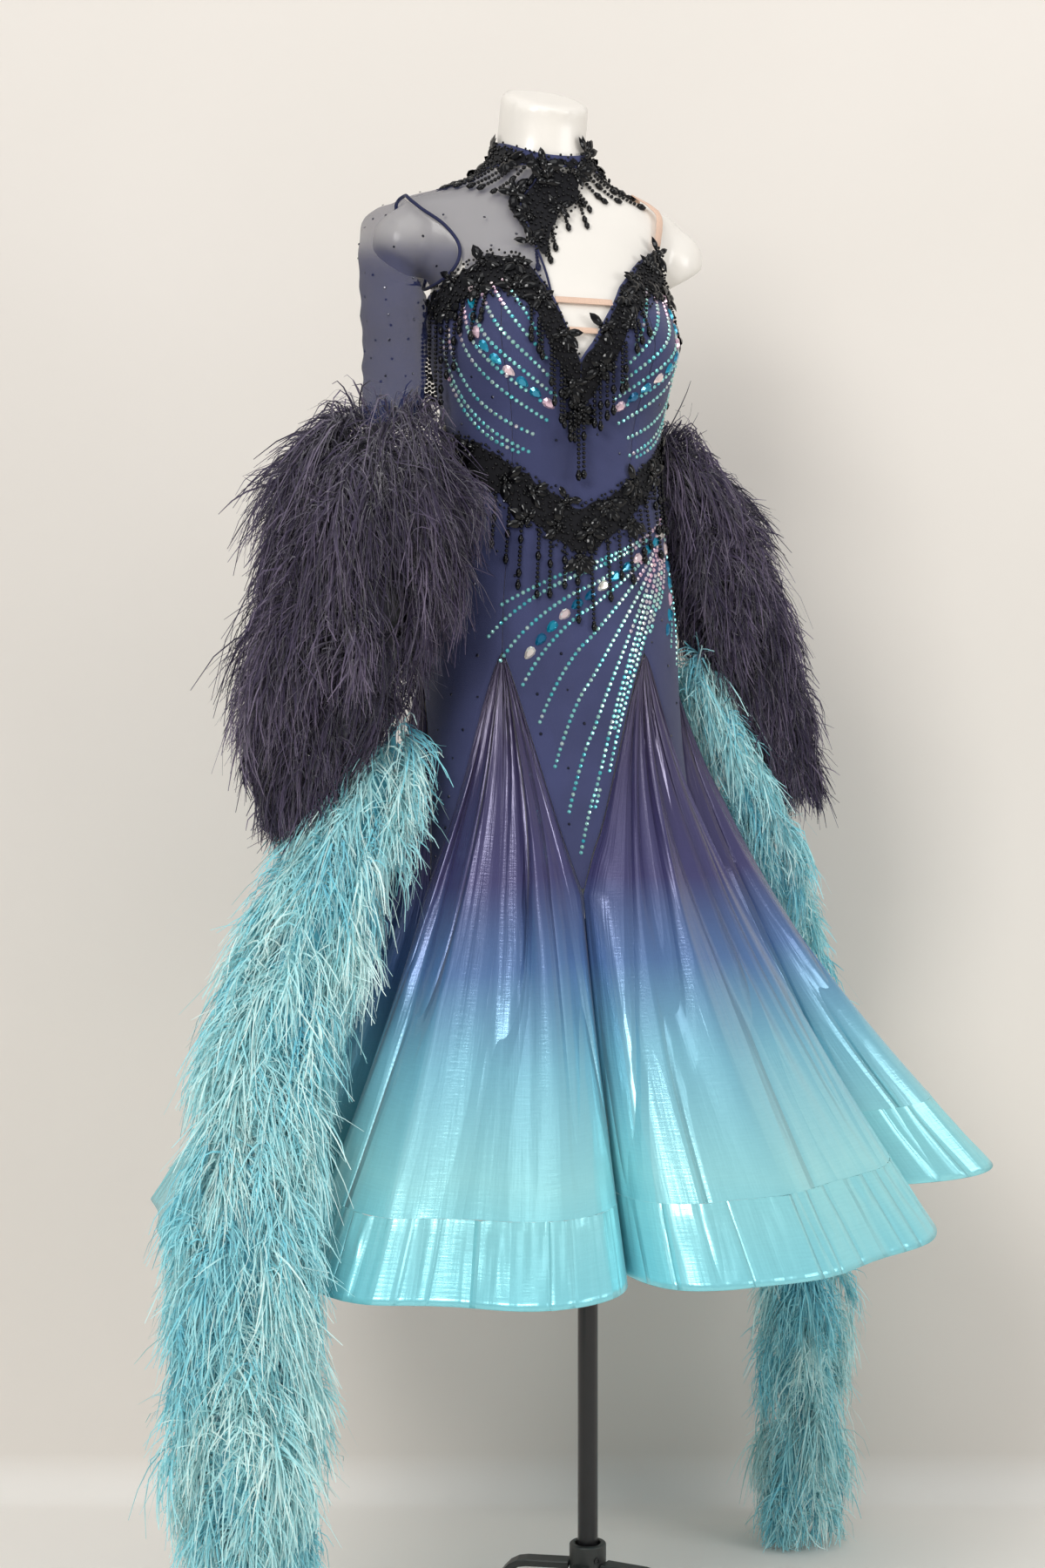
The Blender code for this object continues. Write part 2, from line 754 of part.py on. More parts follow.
THROAT_BEADS = (
    (-18.0, 1.7425, 1.690),
    (-14.0, 1.7425, 1.645),
    (-10.0, 1.7425, 1.628),
    (-5.0, 1.7425, 1.655),
    (0.0, 1.7425, 1.685),
    (8.0, 1.7425, 1.708),
    (15.0, 1.7425, 1.726),
)


def add_collar_beading(finish, collection):
    sheet("beading_collar", choker_rows(), COLLAR_BEADING, finish, collection, ring=True, lift=3 * SEAM_GAP)
    layer("beading_throat", THROAT_BEADS, BEADING, finish, collection, 0.0027 + NET_EASE)


# ---- feathers ------------------------------------------------------------------------------

# Reach of the ostrich plumes, as level sections: (height, x, y, radius across, radius fore
# and aft).
PLUME_COLUMNS = ("height", "x", "y", "across", "fore_and_aft")
RIGHT_CUFF = (
    (0.988, -0.372, -0.048, 0.025, 0.025),
    (1.043, -0.370, -0.050, 0.061, 0.061),
    (1.094, -0.349, -0.058, 0.100, 0.100),
    (1.142, -0.335, -0.064, 0.118, 0.118),
    (1.190, -0.320, -0.072, 0.115, 0.115),
    (1.237, -0.311, -0.080, 0.120, 0.120),
    (1.298, -0.301, -0.085, 0.125, 0.125),
    (1.356, -0.291, -0.092, 0.126, 0.126),
    (1.398, -0.290, -0.055, 0.092, 0.092),
    (1.430, -0.268, -0.046, 0.062, 0.062),
    (1.450, -0.255, -0.038, 0.044, 0.044),
)
RIGHT_BOA = (
    (0.250, -0.474, -0.240, 0.060, 0.060),
    (0.290, -0.474, -0.240, 0.086, 0.086),
    (0.400, -0.476, -0.241, 0.092, 0.092),
    (0.500, -0.487, -0.250, 0.080, 0.080),
    (0.565, -0.487, -0.246, 0.078, 0.078),
    (0.611, -0.473, -0.222, 0.078, 0.078),
    (0.677, -0.450, -0.172, 0.082, 0.082),
    (0.735, -0.432, -0.145, 0.085, 0.085),
    (0.798, -0.408, -0.130, 0.085, 0.085),
    (0.867, -0.369, -0.105, 0.080, 0.080),
    (0.931, -0.336, -0.086, 0.074, 0.074),
    (0.995, -0.304, -0.052, 0.060, 0.060),
    (1.063, -0.276, -0.015, 0.040, 0.040),
)
LEFT_CUFF = (
    (1.012, 0.306, 0.056, 0.025, 0.025),
    (1.078, 0.278, 0.052, 0.045, 0.045),
    (1.143, 0.254, 0.050, 0.062, 0.062),
    (1.187, 0.222, 0.045, 0.080, 0.080),
    (1.245, 0.195, 0.041, 0.070, 0.070),
    (1.275, 0.194, 0.040, 0.074, 0.074),
    (1.340, 0.173, 0.036, 0.076, 0.076),
    (1.393, 0.127, 0.029, 0.041, 0.041),
    (1.440, 0.0956, 0.0215, 0.0130, 0.0130),
)
LEFT_BOA = (
    (0.012, 0.428, 0.280, 0.050, 0.050),
    (0.050, 0.428, 0.280, 0.070, 0.070),
    (0.300, 0.428, 0.280, 0.072, 0.072),
    (0.520, 0.430, 0.284, 0.068, 0.068),
    (0.650, 0.422, 0.276, 0.064, 0.064),
    (0.800, 0.360, 0.200, 0.060, 0.060),
    (0.905, 0.290, 0.100, 0.050, 0.050),
    (0.991, 0.240, 0.060, 0.045, 0.045),
    (1.076, 0.195, 0.052, 0.036, 0.036),
    (1.145, 0.163, 0.048, 0.024, 0.024),
    (1.190, 0.166, 0.046, 0.014, 0.014),
)
PLUME_SIDES = 14


def plume_rings(table, grow=0.0):
    rings = []
    for height, x, y, across, fore_and_aft in table:
        ring = []
        for side in range(PLUME_SIDES):
            angle = math.tau * side / PLUME_SIDES
            ring.append(
                Vector(
                    (
                        x + (across + grow) * math.cos(angle),
                        y + (fore_and_aft + grow) * math.sin(angle),
                        height,
                    )
                )
            )
        rings.append(ring)
    return rings


BORE_GAP = 0.0009  # between the sleeve's end and the feather cuff sewn round it
BORE_END = (-0.292, -0.074, 1.180, 0.034, 0.034, 0.0)


# The right cuff is four gores of ostrich fringe round the arm, sewn edge to edge.
CUFF_GORE_TURNS = (-135.0, -45.0, 45.0, 135.0)
GORE_GAP = 0.0004
GORE_REACH = 0.40


def gore_wedge(name, turn, cutters):
    """A quarter of the space round the bore's axis, with its middle at this turn."""
    (low_x, low_y, low_z), (high_x, high_y, high_z) = BORE_END[:3], SLEEVE[-1][:3]
    rings = []
    for height in (0.90, 1.52):
        share = (height - low_z) / (high_z - low_z)
        axis = Vector((low_x + share * (high_x - low_x), low_y + share * (high_y - low_y), height))
        corner = axis + direction(turn) * GORE_GAP / math.sqrt(2)
        far = [corner + direction(turn + side) * GORE_REACH for side in (45.0, 0.0, -45.0)]
        rings.append([corner, *far])
    return loft(name, rings, None, cutters)


def add_plumes(dark, pale, collection, cutters):
    bore_rings = [sleeve_ring(*row, BORE_GAP) for row in (BORE_END, *reversed(SLEEVE[-2:]))]
    bore = as_cutter(loft("cuff_bore", bore_rings, None, cutters))
    boa_room = as_cutter(loft("boa_room_right", plume_rings(RIGHT_BOA, SEAM_GAP), None, cutters))
    for number, turn in enumerate(CUFF_GORE_TURNS, 1):
        gore = loft(f"feather_cuff_right_{number}", plume_rings(RIGHT_CUFF), dark, collection)
        boolean(gore, bore, "DIFFERENCE")
        boolean(gore, boa_room, "DIFFERENCE")
        boolean(gore, as_cutter(gore_wedge(f"cuff_wedge_{number}", turn, cutters)), "INTERSECT")
    loft("feather_boa_right", plume_rings(RIGHT_BOA), pale, collection)
    cuff = loft("feather_cuff_left", plume_rings(LEFT_CUFF), dark, collection)
    boa_room = loft("boa_room_left", plume_rings(LEFT_BOA, SEAM_GAP), None, cutters)
    boolean(cuff, as_cutter(boa_room), "DIFFERENCE")
    loft("feather_boa_left", plume_rings(LEFT_BOA), pale, collection)


# ---- form and stand ------------------------------------------------------------------------

FORM_LEVELS = (
    FORM_BOTTOM, 1.00, 1.10, 1.18, 1.25, 1.32, 1.385, 1.43, 1.47, 1.50, 1.527, 1.555, 1.585,
    1.615, 1.645, 1.67, 1.69, 1.704, 1.716, 1.73, 1.744, 1.7535, 1.763, 1.7725, 1.782, 1.80,
)
FORM_SIDES = 24
# The arm stumps: each is rounded over an inner and an outer ball, (middle, radii), and cut off
# flat at a point, at right angles to a way.
STUMP_BALLS = (
    ((0.140, 0.035, 1.668), (0.032, 0.033, 0.034)),
    ((0.168, 0.035, 1.650), (0.040, 0.036, 0.042)),
)
STUMP_CUT, STUMP_WAY = Vector((0.180, 0.035, 1.628)), Vector((0.5, 0.0, -0.85)).normalized()


def form_clearance(height):
    """The gown touches the form only at the choker, round the neck."""
    return NECK_CLEARANCE if height > CHOKER_BOTTOM - 0.001 else FORM_CLEARANCE


def form_ring(height):
    turns = [360.0 * side / FORM_SIDES for side in range(FORM_SIDES)]
    section = max(height, 1.04)
    ring = []
    for turn in turns:
        point = body_point(turn, section, -form_clearance(height))
        point.z = height
        ring.append(point)
    return ring


def neck_cap():
    """The neck's upper ring, on a plane that falls towards the front."""
    ring = []
    for point in form_ring(1.84):
        fall = (point.y - (0.022 - 0.054)) / 0.108
        point.z = NECK_CAP_FRONT + (NECK_CAP_BACK - NECK_CAP_FRONT) * min(max(fall, 0.0), 1.0)
        ring.append(point)
    return ring


def stump(name, side, collection):
    """What is left of an arm of the form, on the side -1 or 1."""
    shell = bmesh.new()
    for middle, radii in STUMP_BALLS:
        for i, j in itertools.product(range(11), range(16)):
            up, round_by = math.pi * (i / 10 - 0.5), math.tau * j / 16
            level = Vector((math.cos(round_by), math.sin(round_by), 0.0))
            out = level * math.cos(up) + Vector((0.0, 0.0, math.sin(up)))
            point = Vector(middle) + out * Vector(radii)
            point -= STUMP_WAY * max(0.0, (point - STUMP_CUT).dot(STUMP_WAY))
            shell.verts.new((BODY_X + side * point.x, point.y, point.z))
    bmesh.ops.remove_doubles(shell, verts=shell.verts, dist=0.0005)
    hull = bmesh.ops.convex_hull(shell, input=shell.verts)
    spare = hull["geom_interior"] + hull["geom_unused"]
    inside = {part for part in spare if isinstance(part, bmesh.types.BMVert)}
    bmesh.ops.delete(shell, geom=list(inside), context="VERTS")
    mesh = bpy.data.meshes.new(name)
    shell.to_mesh(mesh)
    shell.free()
    return link(mesh, name, None, collection)


def add_form(finish, collection, cutters):
    form = loft("dress_form", [form_ring(z) for z in FORM_LEVELS] + [neck_cap()], finish, collection)
    for side, name in ((-1, "right"), (1, "left")):
        boolean(form, as_cutter(stump(f"stump_{name}", side, cutters)), "UNION")
    socket = cylinder(
        "pole_socket",
        POLE_RADIUS + SEAM_GAP,
        (0, 0, FORM_BOTTOM - 0.02),
        (0, 0, POLE_TOP + SEAM_GAP),
        None,
        cutters,
    )
    boolean(form, as_cutter(socket), "DIFFERENCE")


def turned(name, profile, finish, collection, steps=32):
    """A turned shape: the profile's (radius, height) rows run down its outside."""
    shell = bmesh.new()
    line = [shell.verts.new((radius, 0.0, height)) for radius, height in profile]
    for first, last in zip(line, line[1:]):
        shell.edges.new((first, last))
    mesh = bpy.data.meshes.new(name)
    shell.to_mesh(mesh)
    shell.free()
    made = link(mesh, name, finish, collection)
    spin = made.modifiers.new("turn", "SCREW")
    spin.steps = spin.render_steps = steps
    spin.use_merge_vertices = True
    spin.merge_threshold = 0.0001
    return made


def add_leg(name, turn, finish, collection):
    """A flat bar, bent twice: out from the collar, down, and out along the floor."""
    start = COLLAR_RADIUS + SEAM_GAP * 2
    drop = LEG_TOP - LEG_THICKNESS
    slope = math.atan2(drop, LEG_HEEL - LEG_SHOULDER)
    inset = LEG_THICKNESS * math.tan(slope / 2)
    outline = (
        (start, LEG_TOP),
        (LEG_SHOULDER, LEG_TOP),
        (LEG_HEEL, LEG_THICKNESS),
        (LEG_REACH, LEG_THICKNESS),
        (LEG_REACH, 0.0),
        (LEG_HEEL - inset, 0.0),
        (LEG_SHOULDER - inset, LEG_TOP - LEG_THICKNESS),
        (start, LEG_TOP - LEG_THICKNESS),
    )
    curve = bpy.data.curves.new(name, "CURVE")
    curve.dimensions = "2D"
    curve.fill_mode = "BOTH"
    curve.extrude = LEG_WIDTH / 2
    spline = curve.splines.new("POLY")
    spline.points.add(len(outline) - 1)
    for point, (reach, height) in zip(spline.points, outline):
        point.co = (reach, height, 0.0, 1.0)
    spline.use_cyclic_u = True
    leg = link(curve, name, finish, collection)
    out = direction(turn)
    up = Vector((0, 0, 1))
    leg.matrix_world = Matrix((out, up, out.cross(up))).transposed().to_4x4()
    return leg


def add_stand(metal, dark_metal, collection, cutters):
    hub = turned(
        "stand_collar",
        (
            (0.0, 0.0),
            (HUB_FOOT_RADIUS, 0.0),
            (HUB_FOOT_RADIUS, HUB_FOOT_HEIGHT - 0.003),
            (HUB_FOOT_RADIUS - 0.003, HUB_FOOT_HEIGHT),
            (COLLAR_RADIUS + 0.004, HUB_FOOT_HEIGHT),
            (COLLAR_RADIUS, HUB_FOOT_HEIGHT + 0.004),
            (COLLAR_RADIUS, COLLAR_TOP - 0.0015),
            (COLLAR_RADIUS - 0.0015, COLLAR_TOP),
            (COLLAR_BORE + 0.001, COLLAR_TOP),
            (COLLAR_BORE, COLLAR_TOP - 0.001),
            (COLLAR_BORE, POLE_FOOT - SEAM_GAP),
            (0.0, POLE_FOOT - SEAM_GAP),
        )[::-1],
        metal,
        collection,
    )
    out = direction(SCREW_TURN)
    at = Vector((0, 0, SCREW_HEIGHT))
    hole_radius = SCREW_RADIUS + SEAM_GAP
    hole = cylinder("screw_hole", hole_radius, at + out * 0.010, at + out * 0.030, None, cutters, 20)
    boolean(hub, as_cutter(hole), "DIFFERENCE")
    screw = cylinder(
        "set_screw",
        SCREW_RADIUS,
        at + out * (POLE_RADIUS + SEAM_GAP),
        at + out * (COLLAR_RADIUS + 0.0015),
        dark_metal,
        collection,
        20,
    )
    key_foot = at + out * (COLLAR_RADIUS - 0.0015)
    key = cylinder("screw_key", 0.0023, key_foot, at + out * 0.030, None, cutters, 6)
    boolean(screw, as_cutter(key), "DIFFERENCE")
    cylinder("stand_pole", POLE_RADIUS, (0, 0, POLE_FOOT), (0, 0, POLE_TOP), dark_metal, collection, 28)
    for number, turn in enumerate(LEG_TURNS, 1):
        add_leg(f"stand_leg_{number}", turn, metal, collection)


def main():
    clear_scene()
    parts = new_collection("gown_on_dress_form")
    cutters = new_collection("cutters", hidden=True)
    navy = material("navy_jersey", (0.022, 0.026, 0.090), 0.75)
    net = material("navy_net", (0.018, 0.022, 0.070), 0.80)
    satin = material("ombre_satin", (0.120, 0.420, 0.560), 0.32)
    hem_satin = material("turquoise_satin", (0.170, 0.620, 0.720), 0.30)
    skin_tone = material("skin_tone_elastic", (0.560, 0.340, 0.230), 0.80)
    jet = material("jet_beads", (0.004, 0.004, 0.005), 0.12)
    dark_plume = material("aubergine_plume", (0.020, 0.016, 0.050), 0.85)
    pale_plume = material("turquoise_plume", (0.220, 0.680, 0.760), 0.85)
    white = material("white_gloss", (0.860, 0.850, 0.830), 0.18)
    painted = material("grey_painted_steel", (0.050, 0.055, 0.050), 0.45)
    black = material("black_painted_steel", (0.012, 0.012, 0.012), 0.35)
    add_panels(navy, parts)
    add_godets(satin, hem_satin, parts)
    add_choker(navy, parts)
    add_yoke(net, parts)
    add_sleeve(net, parts)
    add_straps(skin_tone, parts)
    add_beading(jet, parts)
    add_collar_beading(jet, parts)
    add_plumes(dark_plume, pale_plume, parts, cutters)
    add_form(white, parts, cutters)
    add_stand(painted, black, parts, cutters)


main()
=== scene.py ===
"""Looks for the ballroom gown on its dress form: cloth, net, beads, stones, plumes and stand.

Metres, +Z up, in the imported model's frame. The gown faces -Y and the wearer's left is +X.
A "turn" is an angle in degrees round the body, 0 at the centre front and growing towards
the wearer's left. The surfaces repeat the CAD source's tables, so each piece lies on its
solid's form.
"""

import math

import bmesh
import bpy
import numpy as np
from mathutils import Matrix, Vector


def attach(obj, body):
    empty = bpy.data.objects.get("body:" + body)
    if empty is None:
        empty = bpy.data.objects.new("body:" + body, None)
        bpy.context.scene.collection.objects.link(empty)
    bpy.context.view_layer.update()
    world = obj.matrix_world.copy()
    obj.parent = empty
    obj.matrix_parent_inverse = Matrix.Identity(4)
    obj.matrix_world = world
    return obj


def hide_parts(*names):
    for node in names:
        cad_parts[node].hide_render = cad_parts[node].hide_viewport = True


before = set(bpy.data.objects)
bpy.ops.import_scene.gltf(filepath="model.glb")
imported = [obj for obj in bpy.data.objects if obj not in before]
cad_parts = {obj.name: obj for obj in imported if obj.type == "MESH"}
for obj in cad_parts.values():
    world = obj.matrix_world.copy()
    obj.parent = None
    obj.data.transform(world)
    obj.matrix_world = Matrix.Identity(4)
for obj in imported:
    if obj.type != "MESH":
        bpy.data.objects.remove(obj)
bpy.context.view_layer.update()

# ---- the gown's form, as the CAD source has it -------------------------------------------

BODY_X = -0.045  # the body's middle, off the stand's axis
SECTION_POWER = 2.25  # of the superellipse that each level follows
APEX_HEIGHT = 1.180  # of the godets' points
POINT_DOWN = 0.41  # the share of the way to the hem over which a godet widens
GODET_SPREAD = 0.80  # the power by which it widens
FLARE_POWER = 1.45  # the power by which it swells out
HEM_BAND = 0.078  # the stiffened band's depth
SEAM_GAP = 0.0003  # between two pieces of cloth
# each cup: its turn from the front, its height, and how far it stands out
CUP_TURN, CUP_HEIGHT, CUP_REACH = 35.0, 1.527, 0.019
CUP_TURN_SPREAD, CUP_HEIGHT_SPREAD = 22.0, 0.052
CHOKER_BOTTOM, CHOKER_TOP, CHOKER_FALL = 1.744, 1.781, 0.024
ARMHOLE_TURN, ARMHOLE_HEIGHT = -90.0, 1.652
ARMHOLE_HALF_TURN, ARMHOLE_HALF_HEIGHT = 40.0, 0.053

# height, half width, set back, depth before and behind
SECTIONS = np.array((
    (0.510, 0.300, 0.000, 0.290, 0.290),
    (0.740, 0.226, 0.000, 0.205, 0.208),
    (0.900, 0.183, 0.000, 0.154, 0.158),
    (1.040, 0.159, 0.002, 0.122, 0.130),
    (1.120, 0.154, 0.004, 0.111, 0.124),
    (1.180, 0.152, 0.005, 0.107, 0.120),
    (1.240, 0.147, 0.005, 0.102, 0.112),
    (1.310, 0.136, 0.002, 0.094, 0.098),
    (1.390, 0.127, 0.000, 0.089, 0.090),
    (1.440, 0.130, 0.000, 0.095, 0.090),
    (1.490, 0.139, 0.002, 0.105, 0.092),
    (1.530, 0.147, 0.005, 0.110, 0.095),
    (1.570, 0.147, 0.010, 0.108, 0.094),
    (1.605, 0.145, 0.018, 0.098, 0.092),
    (1.640, 0.155, 0.028, 0.084, 0.084),
    (1.670, 0.173, 0.034, 0.072, 0.074),
    (1.690, 0.182, 0.036, 0.061, 0.065),
    (1.704, 0.170, 0.037, 0.056, 0.060),
    (1.716, 0.132, 0.038, 0.054, 0.057),
    (1.730, 0.096, 0.038, 0.054, 0.056),
    (1.745, 0.071, 0.038, 0.055, 0.056),
    (1.760, 0.058, 0.037, 0.055, 0.056),
    (1.800, 0.053, 0.030, 0.054, 0.054),
    (1.870, 0.052, 0.016, 0.053, 0.053),
))
# name, turn of the seam, of the folds before and after it, fullness, hem height
GODETS = (
    ("right_back", -157.0, -185.0, -130.0, 0.170, 0.560),
    ("right_side", -101.0, -130.0, -70.0, 0.170, 0.545),
    ("right_front", -36.0, -70.0, -6.0, 0.125, 0.518),
    ("left_front", 28.0, -6.0, 61.0, 0.150, 0.532),
    ("left_side", 92.0, 61.0, 120.0, 0.235, 0.600),
    ("left_back", 148.0, 120.0, 175.0, 0.180, 0.580),
)
# the bodice's upper edge: turn, height
TOP_EDGE = np.array((
    (-180.0, 1.530), (-140.0, 1.540), (-112.0, 1.580), (-92.0, 1.592), (-72.0, 1.596),
    (-52.0, 1.612), (-34.0, 1.627), (-20.0, 1.624), (-13.0, 1.590), (-3.0, 1.508),
    (7.0, 1.560), (17.0, 1.598), (32.0, 1.634), (46.0, 1.655), (56.0, 1.632),
    (72.0, 1.586), (92.0, 1.564), (120.0, 1.548), (180.0, 1.530),
))


def unit(vectors):
    return vectors / np.maximum(np.linalg.norm(vectors, axis=-1, keepdims=True), 1e-12)


def round_turns(count):
    """Even steps once round, in radians."""
    return np.linspace(0, math.tau, count + 1)[:-1]


def lengths_along(points):
    """The length of a line of points, up to each of them."""
    return np.concatenate([[0.0], np.cumsum(np.linalg.norm(np.diff(points, axis=0), axis=1))])


def along_line(at, lengths, line):
    """The places at these lengths along a line."""
    return np.stack([np.interp(at, lengths, column) for column in line.T], axis=1)


def on_curve(t, start, middle, end):
    """Places on a quadratic curve."""
    return (1 - t) ** 2 * start + 2 * t * (1 - t) * middle + t**2 * end


def section(height):
    """The section table's four columns at an array of heights, on smooth curves."""
    keys, values = SECTIONS[:, 0], SECTIONS[:, 1:]
    slopes = np.gradient(values, keys, axis=0)
    height = np.asarray(height, float)
    i = np.clip(np.searchsorted(keys, height) - 1, 0, len(keys) - 2)
    step = (keys[i + 1] - keys[i])[..., None]
    t = np.clip((height - keys[i])[..., None] / step, 0.0, 1.0)
    rise = values[i + 1] - values[i]
    before, after = slopes[i] * step - rise, rise - slopes[i + 1] * step
    return values[i] + t * rise + t * (1 - t) * ((1 - t) * before + t * after)


def wrapped(turn):
    """The turn brought between -180 and 180."""
    return (np.asarray(turn, float) + 180.0) % 360.0 - 180.0


def body(turn, height, out=0.0):
    """Points on the gown's outer face, moved out level by out."""
    turn, height = np.broadcast_arrays(np.asarray(turn, float), np.asarray(height, float))
    half_width, set_back, front, back = np.moveaxis(section(height), -1, 0)
    angle = np.radians(turn)
    sine, cosine = np.sin(angle), np.cos(angle)
    power = 2.0 / SECTION_POWER
    depth = np.where(cosine > 0, front, back)
    x = BODY_X + half_width * np.sign(sine) * np.abs(sine) ** power
    y = set_back - depth * np.sign(cosine) * np.abs(cosine) ** power
    rise = ((height - CUP_HEIGHT) / CUP_HEIGHT_SPREAD) ** 2
    for side in (-1, 1):
        away = ((wrapped(turn) - side * CUP_TURN) / CUP_TURN_SPREAD) ** 2
        out = out + CUP_REACH * np.exp(-away - rise)
    return np.stack((x + out * sine, y - out * cosine, height), axis=-1)


def outwards(turn, height):
    """The gown's outward normals."""
    around = body(np.asarray(turn) + 1.0, height) - body(np.asarray(turn) - 1.0, height)
    rising = body(turn, np.asarray(height) + 0.002) - body(turn, np.asarray(height) - 0.002)
    return unit(np.cross(around, rising))


def on_body(turn, height, lift):
    """Points that stand off the gown's outer face by lift, along its normal."""
    return body(turn, height) + outwards(turn, height) * np.asarray(lift)[..., None]


def top_edge(turn):
    """The height of the bodice's upper edge."""
    return np.interp(wrapped(turn), TOP_EDGE[:, 0], TOP_EDGE[:, 1])


def godet_index(turn):
    """Each turn's godet, and the turn brought into it."""
    turn = np.asarray(turn, float)
    index = np.zeros(turn.shape, int)
    laps = np.array(turn)
    for number, godet in enumerate(GODETS):
        for lap in (turn - 360.0, turn, turn + 360.0):
            inside = (lap >= godet[2]) & (lap <= godet[3])
            index[inside] = number
            laps[inside] = lap[inside]
    return index, laps


def hem_height(turn):
    """The hem's height: a godet's own at its seam, and the mean of two godets' at a fold."""
    index, lap = godet_index(turn)
    table = np.array([godet[1:] for godet in GODETS])
    seam, before, after, _, hem = np.moveaxis(table[index], -1, 0)
    hems = table[:, 4]
    fold_before = (hems[index - 1] + hem) / 2
    fold_after = (hems[(index + 1) % len(GODETS)] + hem) / 2
    share = np.where(lap < seam, (seam - lap) / (seam - before), (lap - seam) / (after - seam))
    return hem + (np.where(lap < seam, fold_before, fold_after) - hem) * share**3


def height_at(turn, down):
    """The height at a share of the way down from the apex to the hem."""
    return APEX_HEIGHT - down * (APEX_HEIGHT - hem_height(turn))


def godet_edges(godet, down):
    """The turns of a godet's two edges."""
    spread = np.minimum(1.0, np.maximum(down, 0.0) / POINT_DOWN) ** GODET_SPREAD
    return godet[1] + (godet[2] - godet[1]) * spread, godet[1] + (godet[3] - godet[1]) * spread


def godet_point(godet, across, down, ripple=0.0):
    """Points of a godet: across is -1 at one fold and 1 at the other."""
    first, last = godet_edges(godet, down)
    half = np.maximum((last - first) / 2 - math.degrees(SEAM_GAP / 0.2), 0.3)
    spread = np.maximum(down, 1e-4) / POINT_DOWN
    eased = np.minimum(1.0, (1.0 + spread**5) ** -0.2 / np.minimum(1.0, 1.0 / spread))
    inner = 1.0 - np.abs(across) ** 8
    turn = (first + last) / 2 + across * half * (1.0 - inner * (1.0 - eased))
    squareness = 2.5 + 8.0 * down
    bow = np.maximum(0.0, 1.0 - np.abs(across) ** squareness) ** 0.62
    swell = godet[4] * down**FLARE_POWER * bow
    return body(turn, height_at(turn, down), swell + ripple * bow)


# ---- meshes --------------------------------------------------------------------------------


def mesh_object(name, points, faces, finish, smooth=True, uv=None, tone=None):
    """An object from arrays: faces is (n, 3) or (n, 4), uv and tone are given per point."""
    points = np.ascontiguousarray(points, np.float32).reshape(-1, 3)
    faces = np.ascontiguousarray(faces, np.int32)
    starts = np.arange(0, faces.size, faces.shape[1], dtype=np.int32)
    mesh = bpy.data.meshes.new(name)
    mesh.vertices.add(len(points))
    mesh.vertices.foreach_set("co", points.ravel())
    mesh.loops.add(faces.size)
    mesh.loops.foreach_set("vertex_index", faces.ravel())
    mesh.polygons.add(len(faces))
    mesh.polygons.foreach_set("loop_start", starts)
    mesh.polygons.foreach_set("use_smooth", np.full(len(faces), smooth))
    mesh.update(calc_edges=True)
    if uv is not None:
        layer = mesh.uv_layers.new(name="UVMap")
        per_corner = np.asarray(uv, np.float32).reshape(-1, 2)[faces.ravel()]
        layer.data.foreach_set("uv", per_corner.ravel())
    if tone is not None:
        attribute = mesh.attributes.new("tone", "FLOAT", "POINT")
        attribute.data.foreach_set("value", np.asarray(tone, np.float32).ravel())
    mesh.materials.append(finish)
    made = bpy.data.objects.new(name, mesh)
    bpy.context.scene.collection.objects.link(made)
    return made


def grid_faces(rows, columns, ring=False):
    """Quads of a grid of points, rows by columns."""
    spans = columns if ring else columns - 1
    row, column = np.meshgrid(np.arange(rows - 1), np.arange(spans), indexing="ij")
    row, column = row.ravel(), column.ravel()
    after = (column + 1) % columns
    return np.stack(
        (
            row * columns + column,
            row * columns + after,
            (row + 1) * columns + after,
            (row + 1) * columns + column,
        ),
        axis=1,
    )


def grid_uv(grid):
    """Cloth coordinates in metres: along the grid's middle row and down its middle column."""
    across = np.linalg.norm(np.diff(grid, axis=1), axis=2).max(axis=0)
    along = np.linalg.norm(np.diff(grid, axis=0), axis=2)[:, grid.shape[1] // 2]
    u = np.concatenate([[0.0], np.cumsum(across)])
    v = np.concatenate([[0.0], np.cumsum(along)])
    return np.stack(np.meshgrid(u, v), axis=-1)


def wear(piece, nodes, part="form"):
    """The piece rides with a body and stands for its CAD nodes, which are hidden."""
    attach(piece, part)
    if nodes:
        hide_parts(*nodes)
    return piece


def cut_of(grid, ring):
    """A grid of cloth laid flat: its longest row, its longest column and its area."""
    rows = np.concatenate([grid, grid[:, :1]], axis=1) if ring else grid
    width = np.linalg.norm(np.diff(rows, axis=1), axis=2).sum(axis=1).max()
    length = np.linalg.norm(np.diff(rows, axis=0), axis=2).sum(axis=0).max()
    one, other = rows[1:, 1:] - rows[:-1, :-1], rows[1:, :-1] - rows[:-1, 1:]
    area = np.linalg.norm(np.cross(one, other), axis=2).sum() / 2
    return float(width), float(length), float(area)


CUTS = {}  # each sheet's flat width, length and area


def grid_piece(name, grid, finish, nodes, ring=False):
    CUTS[name] = cut_of(grid, ring)
    faces = grid_faces(*grid.shape[:2], ring)
    piece = mesh_object(name, grid, faces, finish, uv=grid_uv(grid))
    return wear(piece, nodes)


# ---- finishes ------------------------------------------------------------------------------


def grey(level):
    return (level, level, level, 1.0)


def shaded(colour, factor):
    """The colour made darker or lighter."""
    return tuple(factor * level for level in colour[:3]) + (1.0,)


def srgb(*levels):
    """A colour from its 0 to 255 screen levels."""
    values = np.array(levels, float) / 255
    linear = np.where(values <= 0.04045, values / 12.92, ((values + 0.055) / 1.055) ** 2.4)
    return (*(float(value) for value in linear), 1.0)


